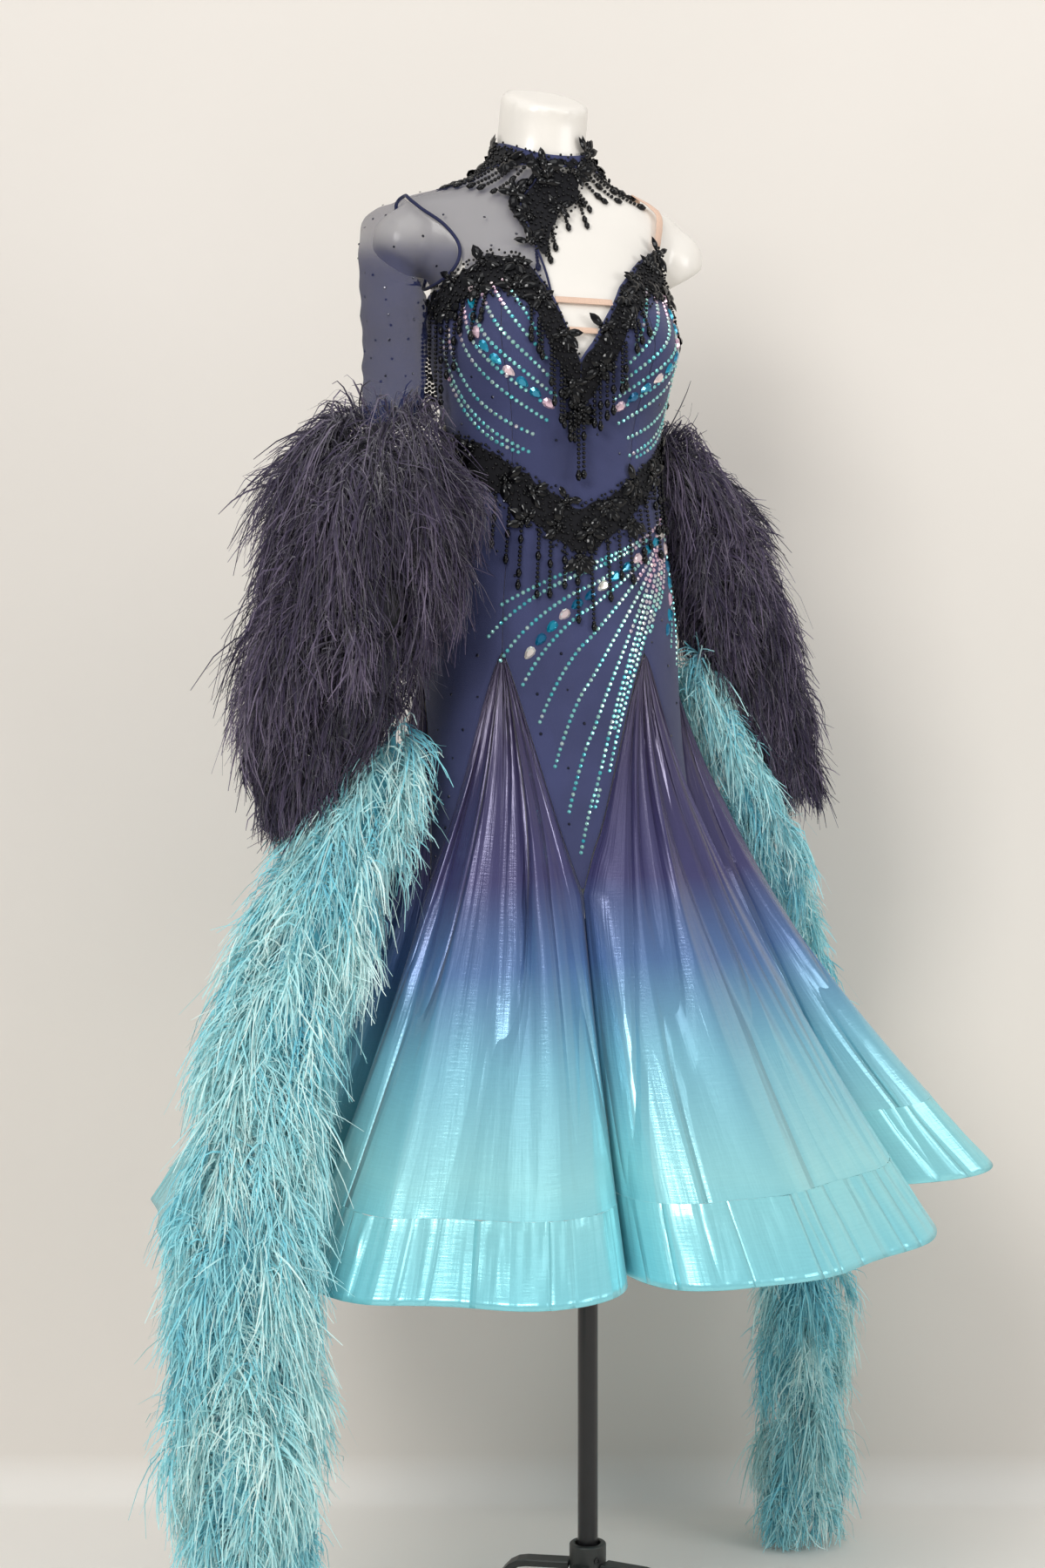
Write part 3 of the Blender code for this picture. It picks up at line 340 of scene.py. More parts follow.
class Finish:
    """A material, with its nodes added one at a time."""

    def __init__(self, name, sockets):
        self.material = bpy.data.materials.new(name)
        self.material.use_nodes = True
        self.tree = self.material.node_tree
        self.surface = self.tree.nodes["Principled BSDF"]
        self.fill(self.surface, sockets)

    def fill(self, made, sockets):
        for key, value in sockets.items():
            if isinstance(value, bpy.types.NodeSocket):
                self.tree.links.new(value, made.inputs[key])
            else:
                made.inputs[key].default_value = value
        return made

    def node(self, kind, sockets=None, **settings):
        made = self.tree.nodes.new("ShaderNode" + kind)
        for key, value in settings.items():
            setattr(made, key, value)
        return self.fill(made, sockets or {})

    def surface_from(self, **sockets):
        self.fill(self.surface, {key.replace("_", " "): value for key, value in sockets.items()})

    def math(self, operation, first, second=0.0):
        return self.node("Math", {0: first, 1: second}, operation=operation).outputs[0]

    def ramp(self, factor, stops):
        made = self.node("ValToRGB", {"Fac": factor})
        elements = made.color_ramp.elements
        elements[0].position, elements[0].color = stops[0]
        elements[1].position, elements[1].color = stops[-1]
        for position, colour in stops[1:-1]:
            elements.new(position).color = colour
        return made.outputs["Color"]

    def place(self, source, scale=(1, 1, 1)):
        """The object's own coordinates, or the cloth's, scaled along each axis."""
        vector = self.node("TexCoord").outputs[source]
        return self.node("Mapping", {"Vector": vector, "Scale": scale}).outputs[0]

    def noise(self, vector, scale, detail=3.0, roughness=0.6):
        sockets = {"Vector": vector, "Scale": scale, "Detail": detail, "Roughness": roughness}
        return self.node("TexNoise", sockets).outputs["Fac"]

    def mix(self, factor, first, second, blend="MIX"):
        made = self.node("Mix", data_type="RGBA", blend_type=blend)
        self.fill(made, {0: factor, 6: first, 7: second})
        return made.outputs[2]

    def bump(self, height, distance, below=None):
        sockets = {"Height": height, "Distance": distance, "Strength": 1.0}
        if below is not None:
            sockets["Normal"] = below
        return self.node("Bump", sockets).outputs["Normal"]

    def tone(self):
        return self.node("Attribute", attribute_name="tone").outputs["Fac"]


def satin_finish(name, stops, roughness, folds_across, folds_down, fold_depth, slack_depth):
    """Satin shaded by height, with a fine grain and long narrow folds in slack cloth."""
    made = Finish(name, {"Roughness": roughness, "Anisotropic": 0.5, "Specular IOR Level": 0.85})
    made.surface_from(Metallic=0.30, Sheen_Weight=0.12, Sheen_Roughness=0.3)
    position = made.node("SeparateXYZ", {0: made.place("Object")}).outputs["Z"]
    cloud = made.noise(made.place("Object", (7.0, 7.0, 3.0)), 1.0, 2.0)
    height = made.math("ADD", position, made.math("MULTIPLY", cloud, 0.06))
    low, high = stops[0][0], stops[-1][0]
    share = made.math("DIVIDE", made.math("SUBTRACT", height, low), high - low)
    colour = made.ramp(share, [((z - low) / (high - low), shade) for z, shade in stops])
    threads = made.noise(made.place("UV", (38.0, 420.0, 1.0)), 1.0, 3.0, 0.55)
    dull, bright = (0.97, 0.972, 0.975, 1.0), (1.03, 1.028, 1.025, 1.0)
    shimmer = made.ramp(threads, ((0.30, dull), (0.70, bright)))
    made.surface_from(Base_Color=made.mix(1.0, colour, shimmer, "MULTIPLY"))
    creases = made.noise(made.place("UV", (42.0, 3.2, 1.0)), 1.0, 3.0, 0.55)
    streaks = made.noise(made.place("UV", (150.0, 10.0, 1.0)), 1.0, 3.0, 0.6)
    folds = made.noise(made.place("UV", (folds_across, folds_down, 1.0)), 1.0, 1.0, 0.4)
    off_crest = made.math("ABSOLUTE", made.math("SUBTRACT", folds, 0.5))
    crest = made.ramp(off_crest, ((0.0, grey(1.0)), (0.022, grey(0.45)), (0.06, grey(0.0))))
    slack = made.bump(folds, slack_depth)
    narrow = made.bump(crest, fold_depth, slack)
    soft = made.bump(creases, 0.0016, narrow)
    fine = made.bump(streaks, 0.00026, soft)
    made.surface_from(Normal=made.bump(threads, 0.00014, fine))
    tangent = made.node("Tangent", direction_type="UV_MAP", uv_map="UVMap")
    made.surface_from(Tangent=tangent.outputs[0])
    return made.material


# (height, colour) stops: the dyed ombre, with a painted broad highlight in the pale stop at 0.66 m
# and the paled stops beside it
OMBRE_AND_PAINTED_HIGHLIGHT = (
    (0.50, srgb(112, 210, 226)),
    (0.66, srgb(152, 218, 224)),
    (0.77, srgb(126, 188, 208)),
    (0.87, srgb(84, 118, 166)),
    (0.96, srgb(66, 64, 110)),
    (1.16, srgb(58, 48, 80)),
)


def knit_finish(name, colour, sheen, alpha=1.0, roughness=0.82, tight=None):
    """Stretch knit: fine columns of stitches.

    tight is (low, high, thin): between these two heights its alpha changes to thin.
    """
    made = Finish(name, {"Roughness": roughness, "Sheen Weight": sheen, "Sheen Roughness": 0.45})
    if tight:
        level = made.node("SeparateXYZ", {0: made.place("Object")}).outputs["Z"]
        sockets = {0: level, 1: tight[0], 2: tight[1], 3: alpha, 4: tight[2]}
        alpha = made.node("MapRange", sockets, interpolation_type="SMOOTHSTEP").outputs[0]
    made.surface_from(Alpha=alpha, Specular_IOR_Level=0.3)
    weave = made.noise(made.place("UV", (1500.0, 700.0, 1.0)), 1.0, 1.0, 0.5)
    cloud = made.noise(made.place("Object", (9.0, 9.0, 9.0)), 1.0, 3.0)
    tint = made.ramp(cloud, ((0.3, shaded(colour, 0.82)), (0.7, shaded(colour, 1.16))))
    stitch = made.ramp(weave, ((0.3, (0.86, 0.86, 0.88, 1.0)), (0.7, (1.1, 1.1, 1.1, 1.0))))
    made.surface_from(Base_Color=made.mix(1.0, tint, stitch, "MULTIPLY"))
    made.surface_from(Normal=made.bump(weave, 0.0003))
    return made.material


def gloss_finish(name, colour, roughness, fleck=0.15, **sockets):
    """Hard gloss, with a little unevenness in its colour and polish."""
    made = Finish(name, {"Roughness": roughness})
    made.surface_from(**sockets)
    cloud = made.noise(made.place("Object", (14.0, 14.0, 14.0)), 1.0, 4.0)
    darker = shaded(colour, 1.0 - fleck)
    made.surface_from(Base_Color=made.ramp(cloud, ((0.3, darker), (0.7, colour))))
    fine = made.noise(made.place("Object", (420.0, 420.0, 420.0)), 1.0, 2.0)
    made.surface_from(Normal=made.bump(fine, 0.00004))
    return made.material


def toned_finish(name, stops, sockets, grain=0.0):
    """A finish whose colour follows each copy's own tone."""
    made = Finish(name, sockets)
    colour = made.ramp(made.tone(), stops)
    cloud = made.noise(made.place("Object", (60.0, 60.0, 60.0)), 1.0, 2.0)
    shade = made.ramp(cloud, ((0.3, grey(1 - grain)), (0.7, grey(1 + grain))))
    made.surface_from(Base_Color=made.mix(1.0, colour, shade, "MULTIPLY"))
    return made.material


# the band's stops, paler towards its top: dyed turquoise with the same painted highlight as the
# skirt's
HEM_OMBRE_AND_PAINTED_HIGHLIGHT = ((0.45, srgb(112, 209, 226)), (0.62, srgb(146, 217, 224)))
# narrow folds run down from each godet's point, with broad slack between them
satin = satin_finish("ombre_satin", OMBRE_AND_PAINTED_HIGHLIGHT, 0.24, 9.0, 1.2, 0.0046, 0.014)
hem_satin = satin_finish("turquoise_satin", HEM_OMBRE_AND_PAINTED_HIGHLIGHT, 0.26, 17.0, 1.0, 0.0018, 0.006)
jersey = knit_finish("navy_jersey", srgb(58, 63, 100), 0.22)
net = knit_finish("navy_net", srgb(36, 42, 80), 0.0, alpha=0.42)
SHOULDER_STRETCH = (1.622, 1.662, 0.36)
sleeve_net = knit_finish("navy_net_round", srgb(34, 42, 84), 0.0, 0.68, tight=SHOULDER_STRETCH)
binding = knit_finish("navy_binding", srgb(36, 40, 72), 0.08)
elastic = knit_finish("skin_tone_elastic", srgb(222, 190, 168), 0.1)
backing_net = knit_finish("black_net", srgb(12, 12, 18), 0.1)
jet = gloss_finish("jet_beads", (0.0025, 0.0025, 0.0032, 1.0), 0.10, Specular_IOR_Level=0.32)
THIN_COAT = {"Coat_Weight": 0.25, "Coat_Roughness": 0.12}
white = gloss_finish("white_gloss", srgb(236, 231, 223), 0.30, 0.03, **THIN_COAT)
black_paint = gloss_finish("black_painted_steel", srgb(26, 26, 28), 0.28, 0.25)
grey_paint = gloss_finish("grey_painted_steel", srgb(44, 48, 46), 0.42, 0.25)
STONE_TONES = (
    (0.0, srgb(0, 96, 140)),
    (0.2, srgb(0, 158, 190)),
    (0.4, srgb(96, 205, 210)),
    (0.6, srgb(176, 226, 214)),
    (0.8, srgb(226, 178, 206)),
    (1.0, srgb(246, 240, 226)),
)
GLASS = {"Roughness": 0.10, "Metallic": 0.55, "Specular IOR Level": 0.8}
GLASS |= {"Coat Weight": 0.7, "Coat Roughness": 0.04}
stone_glass = toned_finish("foiled_glass", STONE_TONES, GLASS, 0.12)
dark_glass = gloss_finish("dark_stones", srgb(22, 26, 48), 0.12, Metallic=0.5, Coat_Weight=0.8)
PLUME = {"Roughness": 0.85, "Sheen Weight": 0.5, "Sheen Roughness": 0.5, "Specular IOR Level": 0.2}
# plume colours by tone: tone differs at random by plume and barb, and also rises along each barb,
# so the dark low end is painted shade at the roots deep in a float and the pale high end a painted
# highlight at the tips
DARK_TONES = (
    (0.0, srgb(22, 18, 34)),
    (0.45, srgb(46, 39, 62)),
    (0.8, srgb(74, 65, 88)),
    (1.0, srgb(112, 102, 122)),
)
PALE_TONES = (
    (0.0, srgb(104, 200, 224)),
    (0.4, srgb(146, 220, 230)),
    (0.75, srgb(184, 234, 236)),
    (1.0, srgb(222, 247, 243)),
)
dark_plume = toned_finish("aubergine_plume", DARK_TONES, PLUME, 0.10)
pale_plume = toned_finish("turquoise_plume", PALE_TONES, PLUME, 0.08)

# ---- skirt ---------------------------------------------------------------------------------


def edge_spaced(count, power=0.6):
    """Places from -1 to 1, closer together near both ends."""
    steps = np.linspace(-1.0, 1.0, count)
    return np.sign(steps) * np.abs(steps) ** power


def ridges(across, down, rng, count):
    """Soft uneven creases that fan out from the apex of a godet and fade towards its hem."""
    total = np.zeros(np.broadcast(across, down).shape)
    places = np.linspace(-0.80, 0.80, count) + rng.uniform(-0.10, 0.10, count)
    for number, place in enumerate(places):
        width = rng.uniform(0.045, 0.085) * (1.0 + 0.9 * down)
        height = rng.uniform(0.0050, 0.0105) * (1 if number % 2 == 0 else -0.8)
        end = rng.uniform(0.70, 1.30)
        bend = rng.uniform(-0.12, 0.12) * (1 - down) ** 2
        bend = bend + 0.015 * np.sin(down * rng.uniform(4, 9) + rng.uniform(0, 6))
        bell = np.exp(-(np.abs((across - place - bend) / width) ** 1.6))
        rise = np.clip(down / 0.30, 0, 1) ** 0.75 * np.clip((end - down) / 0.45, 0, 1) ** 1.2
        total = total + height * bell * rise
    waves, phase = rng.uniform(1.8, 2.8), rng.uniform(0, 6)
    total = total + 0.0085 * np.sin(across * waves * math.pi + phase + 0.8 * down) * down**1.5
    for _ in range(3):
        waves, phase = rng.uniform(14, 26), rng.uniform(0, 6)
        sway = np.clip(np.sin(across * rng.uniform(2, 6) + phase), 0, 1)
        fade = np.clip(1.15 - down, 0, 1)
        ripple = np.sin(across * waves + down * rng.uniform(-2, 2) + phase)
        total = total + 0.0007 * sway * fade * ripple
    return total * np.clip(down / 0.10, 0, 1)


def band_share(godet):
    """How far down a godet its hem band starts."""
    return 1.0 - HEM_BAND / (APEX_HEIGHT - godet[5])


ROW_CROWDING = 0.7  # under 1, a godet's rows lie closer together towards its point


def add_godets():
    columns, rows, band_rows = 97, 90, 12
    across = edge_spaced(columns)
    for number, godet in enumerate(GODETS):
        name = godet[0]
        seam = band_share(godet)
        ends = 0.006**ROW_CROWDING, seam**ROW_CROWDING
        down = np.linspace(*ends, rows)[:, None] ** (1 / ROW_CROWDING)
        hem_down = np.linspace(seam, 1.0, band_rows)[:, None]
        rng = np.random.default_rng(40 + number)
        creases = ridges(across, np.concatenate((down, hem_down)), rng, 8)
        grid = godet_point(godet, across, down, creases[:rows])
        grid_piece(f"godet_{name}_satin", grid, satin, [f"godet_{name}"])
        add_hem_band(godet, hem_down, creases[rows:], rng)


def add_hem_band(godet, down, creases, rng):
    """The stiffened band: crimped finely up and down, with its edge turned under."""
    name = godet[0]
    across = edge_spaced(193)
    wide = np.array([np.interp(across, edge_spaced(creases.shape[1]), row) for row in creases])
    share = np.linspace(0, 1, len(down))[:, None]
    crimp = np.zeros_like(wide)
    for _ in range(64):
        centre, width = rng.uniform(-1, 1), rng.uniform(0.010, 0.030)
        start, end = rng.uniform(-0.3, 0.25), rng.uniform(0.5, 1.1)
        bell = np.exp(-(((across - centre - rng.uniform(-0.02, 0.02) * share) / width) ** 2))
        stretch = np.clip((share - start) / 0.2, 0, 1) * np.clip((end - share) / 0.35, 0, 1)
        crimp += rng.uniform(-0.0024, 0.0024) * bell * stretch
    crimp += 0.0006 * np.exp(-((share / 0.05) ** 2)) * (1 + 0.8 * np.sin(across * 160))
    grid = godet_point(godet, across, down, wide + crimp)
    under = grid[-1] + (grid[-2] - grid[-1]) * 0.8
    inwards = np.array((BODY_X, 0.0, 0.0)) - under
    inwards[:, 2] = 0.0
    inwards = unit(inwards)
    turn_up = [grid[-1] + inwards * 0.0016 - (0, 0, 0.0008), under + inwards * 0.0026]
    grid = np.concatenate((grid, np.array(turn_up)))
    grid_piece(f"hem_band_{name}_satin", grid, hem_satin, [f"hem_band_{name}"])


# ---- bodice, choker, yoke and sleeve ---------------------------------------------------------

PANELS = ("right_back", "right_side", "front", "left_side", "left_back", "back")
BUST_BASE = 1.48  # the level from which a panel's rows spread up to its upper edge
WAIST_HEIGHT = 1.385
PANEL_TRIM = 0.12  # degrees left off each side of a panel


def add_panels():
    columns = 49
    share = np.linspace(0, 1, columns)
    for index, name in enumerate(PANELS):
        before, after = GODETS[index], GODETS[(index + 1) % len(GODETS)]
        lap = 360.0 if after[1] < before[1] else 0.0
        down = np.linspace(0.40, 0.0, 44)[:, None]
        first = godet_edges(before, down)[1]
        last = godet_edges(after, down)[0] + lap
        turn = first + PANEL_TRIM + share * (last - first - 2 * PANEL_TRIM)
        height = height_at(turn, down)
        low_turn = np.broadcast_to(turn[-1], (30, columns))
        levels = np.linspace(APEX_HEIGHT, BUST_BASE, 31)[1:, None] + np.zeros(columns)
        tops = top_edge(turn[-1])
        bust = BUST_BASE + np.linspace(0, 1, 29)[1:, None] * (tops - BUST_BASE)
        turn = np.concatenate((turn, low_turn, np.broadcast_to(turn[-1], bust.shape)))
        height = np.concatenate((height, levels, bust))
        wave = np.sin(height * 160 + 2.2 * np.sin(np.radians(turn) * 3))
        wrinkle = 0.0006 * wave * np.exp(-(((height - WAIST_HEIGHT) / 0.05) ** 2))
        off_middle = np.abs(share - 0.5) * 2
        seam = -0.0010 * np.exp(-(((1 - off_middle) / 0.05) ** 2))
        grid = body(turn, height, wrinkle + seam)
        grid_piece(f"panel_{name}_jersey", grid, jersey, [f"panel_{name}"])


def armhole(angle, share=1.0):
    """(turn, height) on the armhole: angle 0 at its front, 90 at its top."""
    angle = np.radians(angle)
    return (
        ARMHOLE_TURN + share * ARMHOLE_HALF_TURN * np.cos(angle),
        ARMHOLE_HEIGHT + share * ARMHOLE_HALF_HEIGHT * np.sin(angle),
    )


def edge_path(corners, count):
    """Points at even steps along a path of (turn, height) corners."""
    corners = np.array(corners)
    steps = np.hypot(np.diff(corners[:, 0]) / 400.0, np.diff(corners[:, 1]))
    reach = np.concatenate([[0.0], np.cumsum(steps)])
    return along_line(np.linspace(0.0, reach[-1], count), reach, corners)


def patch_between(bottom, top, first, last, rows, columns):
    """A Coons patch in turn and height between four paths."""
    low, high = edge_path(bottom, columns), edge_path(top, columns)
    left, right = edge_path(first, rows)[:, None], edge_path(last, rows)[:, None]
    u, v = np.linspace(0, 1, columns)[None, :, None], np.linspace(0, 1, rows)[:, None, None]
    ends = (1 - u) * left + u * right
    sides = (1 - v) * low + v * high
    corners = (1 - v) * ((1 - u) * low[0] + u * low[-1]) + v * ((1 - u) * high[0] + u * high[-1])
    return ends + sides - corners


NET_EASE = 0.0012  # how far the net lies off the bodice's surface
YOKE_EDGE = 0.0031  # from the net's upper edge to the choker
YOKE_LAP = 0.006  # of the net over the bodice's upper edge
YOKE_FRONT_TURN, YOKE_BACK_TURN = -13.0, -183.0
CHOKER_EASE = 0.0010


def yoke_paths(inner, foot, side):
    """The four edges of half the yoke: below, above, at the inner edge and round the armhole."""
    top = CHOKER_BOTTOM - YOKE_EDGE
    rim = [armhole(foot + (90.0 - foot) * i / 24, 1.012) for i in range(25)]
    rim[0] = (rim[0][0], float(top_edge(rim[0][0])) - YOKE_LAP)
    rim[-1] = (ARMHOLE_TURN + side * 0.6, rim[-1][1])
    rim.append((ARMHOLE_TURN + side * 0.6, top))
    turns = np.linspace(inner, rim[0][0], 41)
    bottom = np.stack((turns, top_edge(turns) - YOKE_LAP), axis=1)
    above = ((inner, top), (rim[-1][0], top))
    return bottom, above, (bottom[0], (inner, top)), rim


def add_yoke():
    halves = (("front", YOKE_FRONT_TURN, -28.0, 1), ("back", YOKE_BACK_TURN, 208.0, -1))
    for name, inner, foot, side in halves:
        patch = patch_between(*yoke_paths(inner, foot, side), 44, 61)
        grid = body(patch[..., 0], patch[..., 1], NET_EASE)
        grid_piece(f"yoke_{name}_net", grid, net, [f"yoke_{name}"])
    rim = [armhole(angle, 0.995) for angle in np.linspace(0, 360, 121)[:-1]]
    path = np.array([on_body(t, h, np.array(0.0022)) for t, h in rim])
    wear(tube("armhole_binding", path, 0.0021, binding, ring=True), [])
    edges = (("yoke_binding", YOKE_FRONT_TURN), ("centre_back_binding", YOKE_BACK_TURN))
    for name, turn in edges:
        heights = np.linspace(top_edge(turn) - YOKE_LAP, CHOKER_BOTTOM - YOKE_EDGE, 40)
        path = np.array([on_body(turn, height, np.array(0.0016)) for height in heights])
        wear(tube(name, path, 0.0014, binding), [])


def tube(name, path, radius, finish, ring=False, sides=8):
    """A round cord along a path of points."""
    path = np.asarray(path, float)
    if ring:
        tangent = np.roll(path, -1, axis=0) - np.roll(path, 1, axis=0)
    else:
        tangent = np.gradient(path, axis=0)
    tangent = unit(tangent)
    outward = path - np.array((BODY_X, 0.02, 0.0))
    outward[:, 2] = 0.0
    across = unit(np.cross(tangent, outward))
    outward = np.cross(across, tangent)
    angle = round_turns(sides)[None, :, None]
    wheel = np.cos(angle) * across[:, None] + np.sin(angle) * outward[:, None]
    grid = path[:, None] + radius * wheel
    rows = len(path)
    if ring:
        grid = np.concatenate((grid, grid[:1]))
        rows += 1
    faces = grid_faces(rows, sides, ring=True)
    return mesh_object(name, grid, faces, finish, uv=grid_uv(grid))


# the sleeve's levels: x, y, z, half width across and fore and aft, lean in degrees
SLEEVE = (
    (-0.2330, 0.032, 1.6400, 0.046, 0.050, 50.0),
    (-0.2310, 0.028, 1.5950, 0.038, 0.044, 12.0),
    (-0.2340, 0.012, 1.5400, 0.0365, 0.040, -3.0),
    (-0.2450, -0.018, 1.4850, 0.0355, 0.037, -6.0),
    (-0.2590, -0.048, 1.4350, 0.034, 0.034, -6.0),
)


def between_rows(rows, count):
    """A smooth run of rows through the given ones."""
    rows = np.asarray(rows, float)
    slopes = np.gradient(rows, axis=0)
    at = np.linspace(0, len(rows) - 1, count)
    i = np.clip(at.astype(int), 0, len(rows) - 2)
    t = (at - i).reshape((-1,) + (1,) * (rows.ndim - 1))
    h00, h10 = 2 * t**3 - 3 * t**2 + 1, t**3 - 2 * t**2 + t
    h01, h11 = -2 * t**3 + 3 * t**2, t**3 - t**2
    return h00 * rows[i] + h10 * slopes[i] + h01 * rows[i + 1] + h11 * slopes[i + 1]


def sleeve_grid(sides=72, rows=60):
    """The sleeve's rings, from the armhole down to the cuff."""
    angle = np.linspace(0, 360, sides + 1)[:-1]
    turn, height = armhole(angle, 0.965)
    rings = [body(turn, height, NET_EASE)]
    sine, cosine = np.sin(np.radians(angle)), np.cos(np.radians(angle))
    for x, y, z, across, fore_and_aft, lean in SLEEVE:
        lean = math.radians(lean)
        ring = np.stack(
            (
                x - sine * across * math.cos(lean),
                y - cosine * fore_and_aft,
                z + sine * across * math.sin(lean),
            ),
            axis=1,
        )
        rings.append(ring)
    return between_rows(rings, rows)


def add_sleeve():
    grid = sleeve_grid()
    away = unit(grid - grid.mean(axis=1, keepdims=True))
    row = np.linspace(0, 1, grid.shape[0])[:, None]
    side = round_turns(grid.shape[1])[None]
    folds = 0.0011 * np.sin(row * 34 + 1.4 * np.sin(side + 1) + side)
    folds = folds * (0.4 + 0.6 * np.sin(side * 2 + 2) ** 2)
    folds += 0.0008 * np.sin(row * 61 - side * 2 + 1.3 * np.sin(side * 3))
    grid = grid + away * (folds * np.clip(row * 8, 0, 1))[..., None]
    grid_piece("sleeve_net", grid, sleeve_net, ["sleeve"], ring=True)


def choker_top(turn):
    """The choker's upper edge, which falls towards the front."""
    return CHOKER_TOP - CHOKER_FALL * ((1 + np.cos(np.radians(turn))) / 2) ** 2.5


def add_choker():
    turn = np.linspace(-180, 180, 121)[:-1]
    height = CHOKER_BOTTOM + np.linspace(0, 1, 14)[:, None] * (choker_top(turn) - CHOKER_BOTTOM)
    roll = 0.0006 * np.cos(np.linspace(-math.pi / 2, math.pi / 2, 14))[:, None]
    grid = body(turn, height, CHOKER_EASE + roll)
    grid_piece("choker_jersey", grid, jersey, ["choker_band"], ring=True)


ELASTIC_THICKNESS = 0.0012
STRAP_WIDTH, STRAP_RISE = 0.009, 0.0034
# the strap's path: turn, height
STRAP = (
    (46.0, 1.6575), (43.5, 1.685), (46.5, 1.706), (60.0, 1.7195), (78.0, 1.7215), (104.0, 1.716),
    (130.0, 1.655), (146.0, 1.5424),
)
NECKLINE_BARS = ((1.578, 0.0080), (1.543, 0.0065))  # height, width
BAR_INSET = 0.35
# the corners of the elastic's section: shares of its width and thickness
ELASTIC_SECTION = (
    (-0.5, -0.3), (-0.5, 0.3), (-0.46, 0.5), (0.0, 0.56), (0.46, 0.5),
    (0.5, 0.3), (0.5, -0.3), (0.46, -0.5), (0.0, -0.5), (-0.46, -0.5),
)


def add_elastic(node, middle, outward, width):
    """A flat elastic with rounded edges along a line of points."""
    beside = unit(np.cross(np.gradient(middle, axis=0), outward))
    columns = [
        middle + beside * width * across + outward * ELASTIC_THICKNESS * (up - 0.5)
        for across, up in ELASTIC_SECTION
    ]
    grid = np.stack(columns, axis=1)
    faces = grid_faces(*grid.shape[:2], ring=True)
    piece = mesh_object(f"{node}_elastic", grid, faces, elastic, uv=grid_uv(grid))
    wear(piece, [node])


def add_straps():
    count, steps, ramp = 90, 27, 3  # the strap rises off the body over its end steps
    turn, height = edge_path(STRAP, count).T
    outward = outwards(turn, height)
    step = np.arange(count) / (count - 1) * steps
    rise = STRAP_RISE * np.minimum(1.0, np.minimum(step / ramp, (steps - step) / ramp))
    add_elastic("strap", body(turn, height) + outward * rise[:, None], outward, STRAP_WIDTH)
    left = TOP_EDGE[(TOP_EDGE[:, 0] > -20.5) & (TOP_EDGE[:, 0] < -2.5)][::-1]
    right = TOP_EDGE[(TOP_EDGE[:, 0] > -3.5) & (TOP_EDGE[:, 0] < 20.0)]
    for number, (height, width) in enumerate(NECKLINE_BARS, 1):
        first = np.interp(height, left[:, 1], left[:, 0]) + BAR_INSET
        last = np.interp(height, right[:, 1], right[:, 0]) - BAR_INSET
        turns = np.linspace(first, last, 24)
        level = np.full(len(turns), height)
        middle, outward = body(turns, level), outwards(turns, level)
        add_elastic(f"neckline_bar_{number}", middle, outward, width)


add_godets()
add_panels()
add_choker()
add_yoke()
add_sleeve()
add_straps()

# ---- dress form and stand --------------------------------------------------------------------

# how far inside the gown's face the form lies, below the choker and in it
FORM_CLEARANCE, NECK_CLEARANCE = 0.0058, 0.0020
FORM_BOTTOM, NECK_TOP = 0.880, 1.80
NARROWEST = 1.04  # the form keeps this level's outline below it
NECK_CAP_FRONT, NECK_CAP_BACK, NECK_CAP_EDGE = 1.810, 1.854, 0.0035
# The arm stumps: each is rounded over an inner and an outer ball and cut off flat.
STUMP_BALLS = (
    ((0.140, 0.035, 1.668), (0.032, 0.033, 0.034)),
    ((0.168, 0.035, 1.650), (0.040, 0.036, 0.042)),
)
STUMP_CUT, STUMP_WAY = np.array((0.180, 0.035, 1.628)), np.array((0.507, 0.0, -0.862))
POLE_RADIUS, POLE_FOOT, POLE_TOP = 0.0118, 0.0603, 0.970


def form_rings():
    """The form's rings, from the flat underside to the slanting top of the neck."""
    turn = np.linspace(0, 360, 129)[:-1]
    trunk, neck = np.linspace(FORM_BOTTOM + 0.006, 1.64, 90), np.linspace(1.645, NECK_TOP, 48)
    rings = []
    for height in np.concatenate((trunk, neck)):
        blend = 1 / (1 + math.exp(-(height - CHOKER_BOTTOM + 0.004) / 0.002))
        inset = FORM_CLEARANCE + (NECK_CLEARANCE - FORM_CLEARANCE) * blend
        ring = body(turn, max(height, NARROWEST), -inset)
        ring[:, 2] = height
        rings.append(ring)
    cap = body(turn, 1.84, -NECK_CLEARANCE)
    fall = np.clip((cap[:, 1] - (0.022 - 0.054)) / 0.108, 0, 1)
    top = NECK_CAP_FRONT + (NECK_CAP_BACK - NECK_CAP_FRONT) * fall
    below, middle = rings[-1], cap.mean(axis=0)
    halfway = below + (cap - below) * 0.5
    halfway[:, 2] = NECK_TOP + (top - NECK_CAP_EDGE - NECK_TOP) * 0.5
    rings.append(halfway)
    for inset, drop in ((0, NECK_CAP_EDGE), (0.0012, 0.0012), (NECK_CAP_EDGE, 0.0)):
        ring = np.array(cap)
        ring[:, 2] = top - drop
        ring[:, :2] += (middle[:2] - ring[:, :2]) * inset / 0.05
        rings.append(ring)
    rim = rings[-1]
    level = rim[:, 2].mean()
    for share in (0.75, 0.5, 0.25, 0.02):
        ring = rim.copy()
        ring[:, :2] = middle[:2] + (rim[:, :2] - middle[:2]) * share
        ring[:, 2] = level + (rim[:, 2] - level) * share
        rings.append(ring)
    foot = rings[0]
    bottom = []
    for inset, rise in ((0.9, 0.0), (0.5, 0.0), (0.06, 0.0), (0.012, 0.0015)):
        ring = foot.copy()
        ring[:, :2] = foot[:, :2] + (foot[:, :2].mean(axis=0) - foot[:, :2]) * inset
        ring[:, 2] = FORM_BOTTOM + rise
        bottom.append(ring)
    return np.array(bottom + rings)


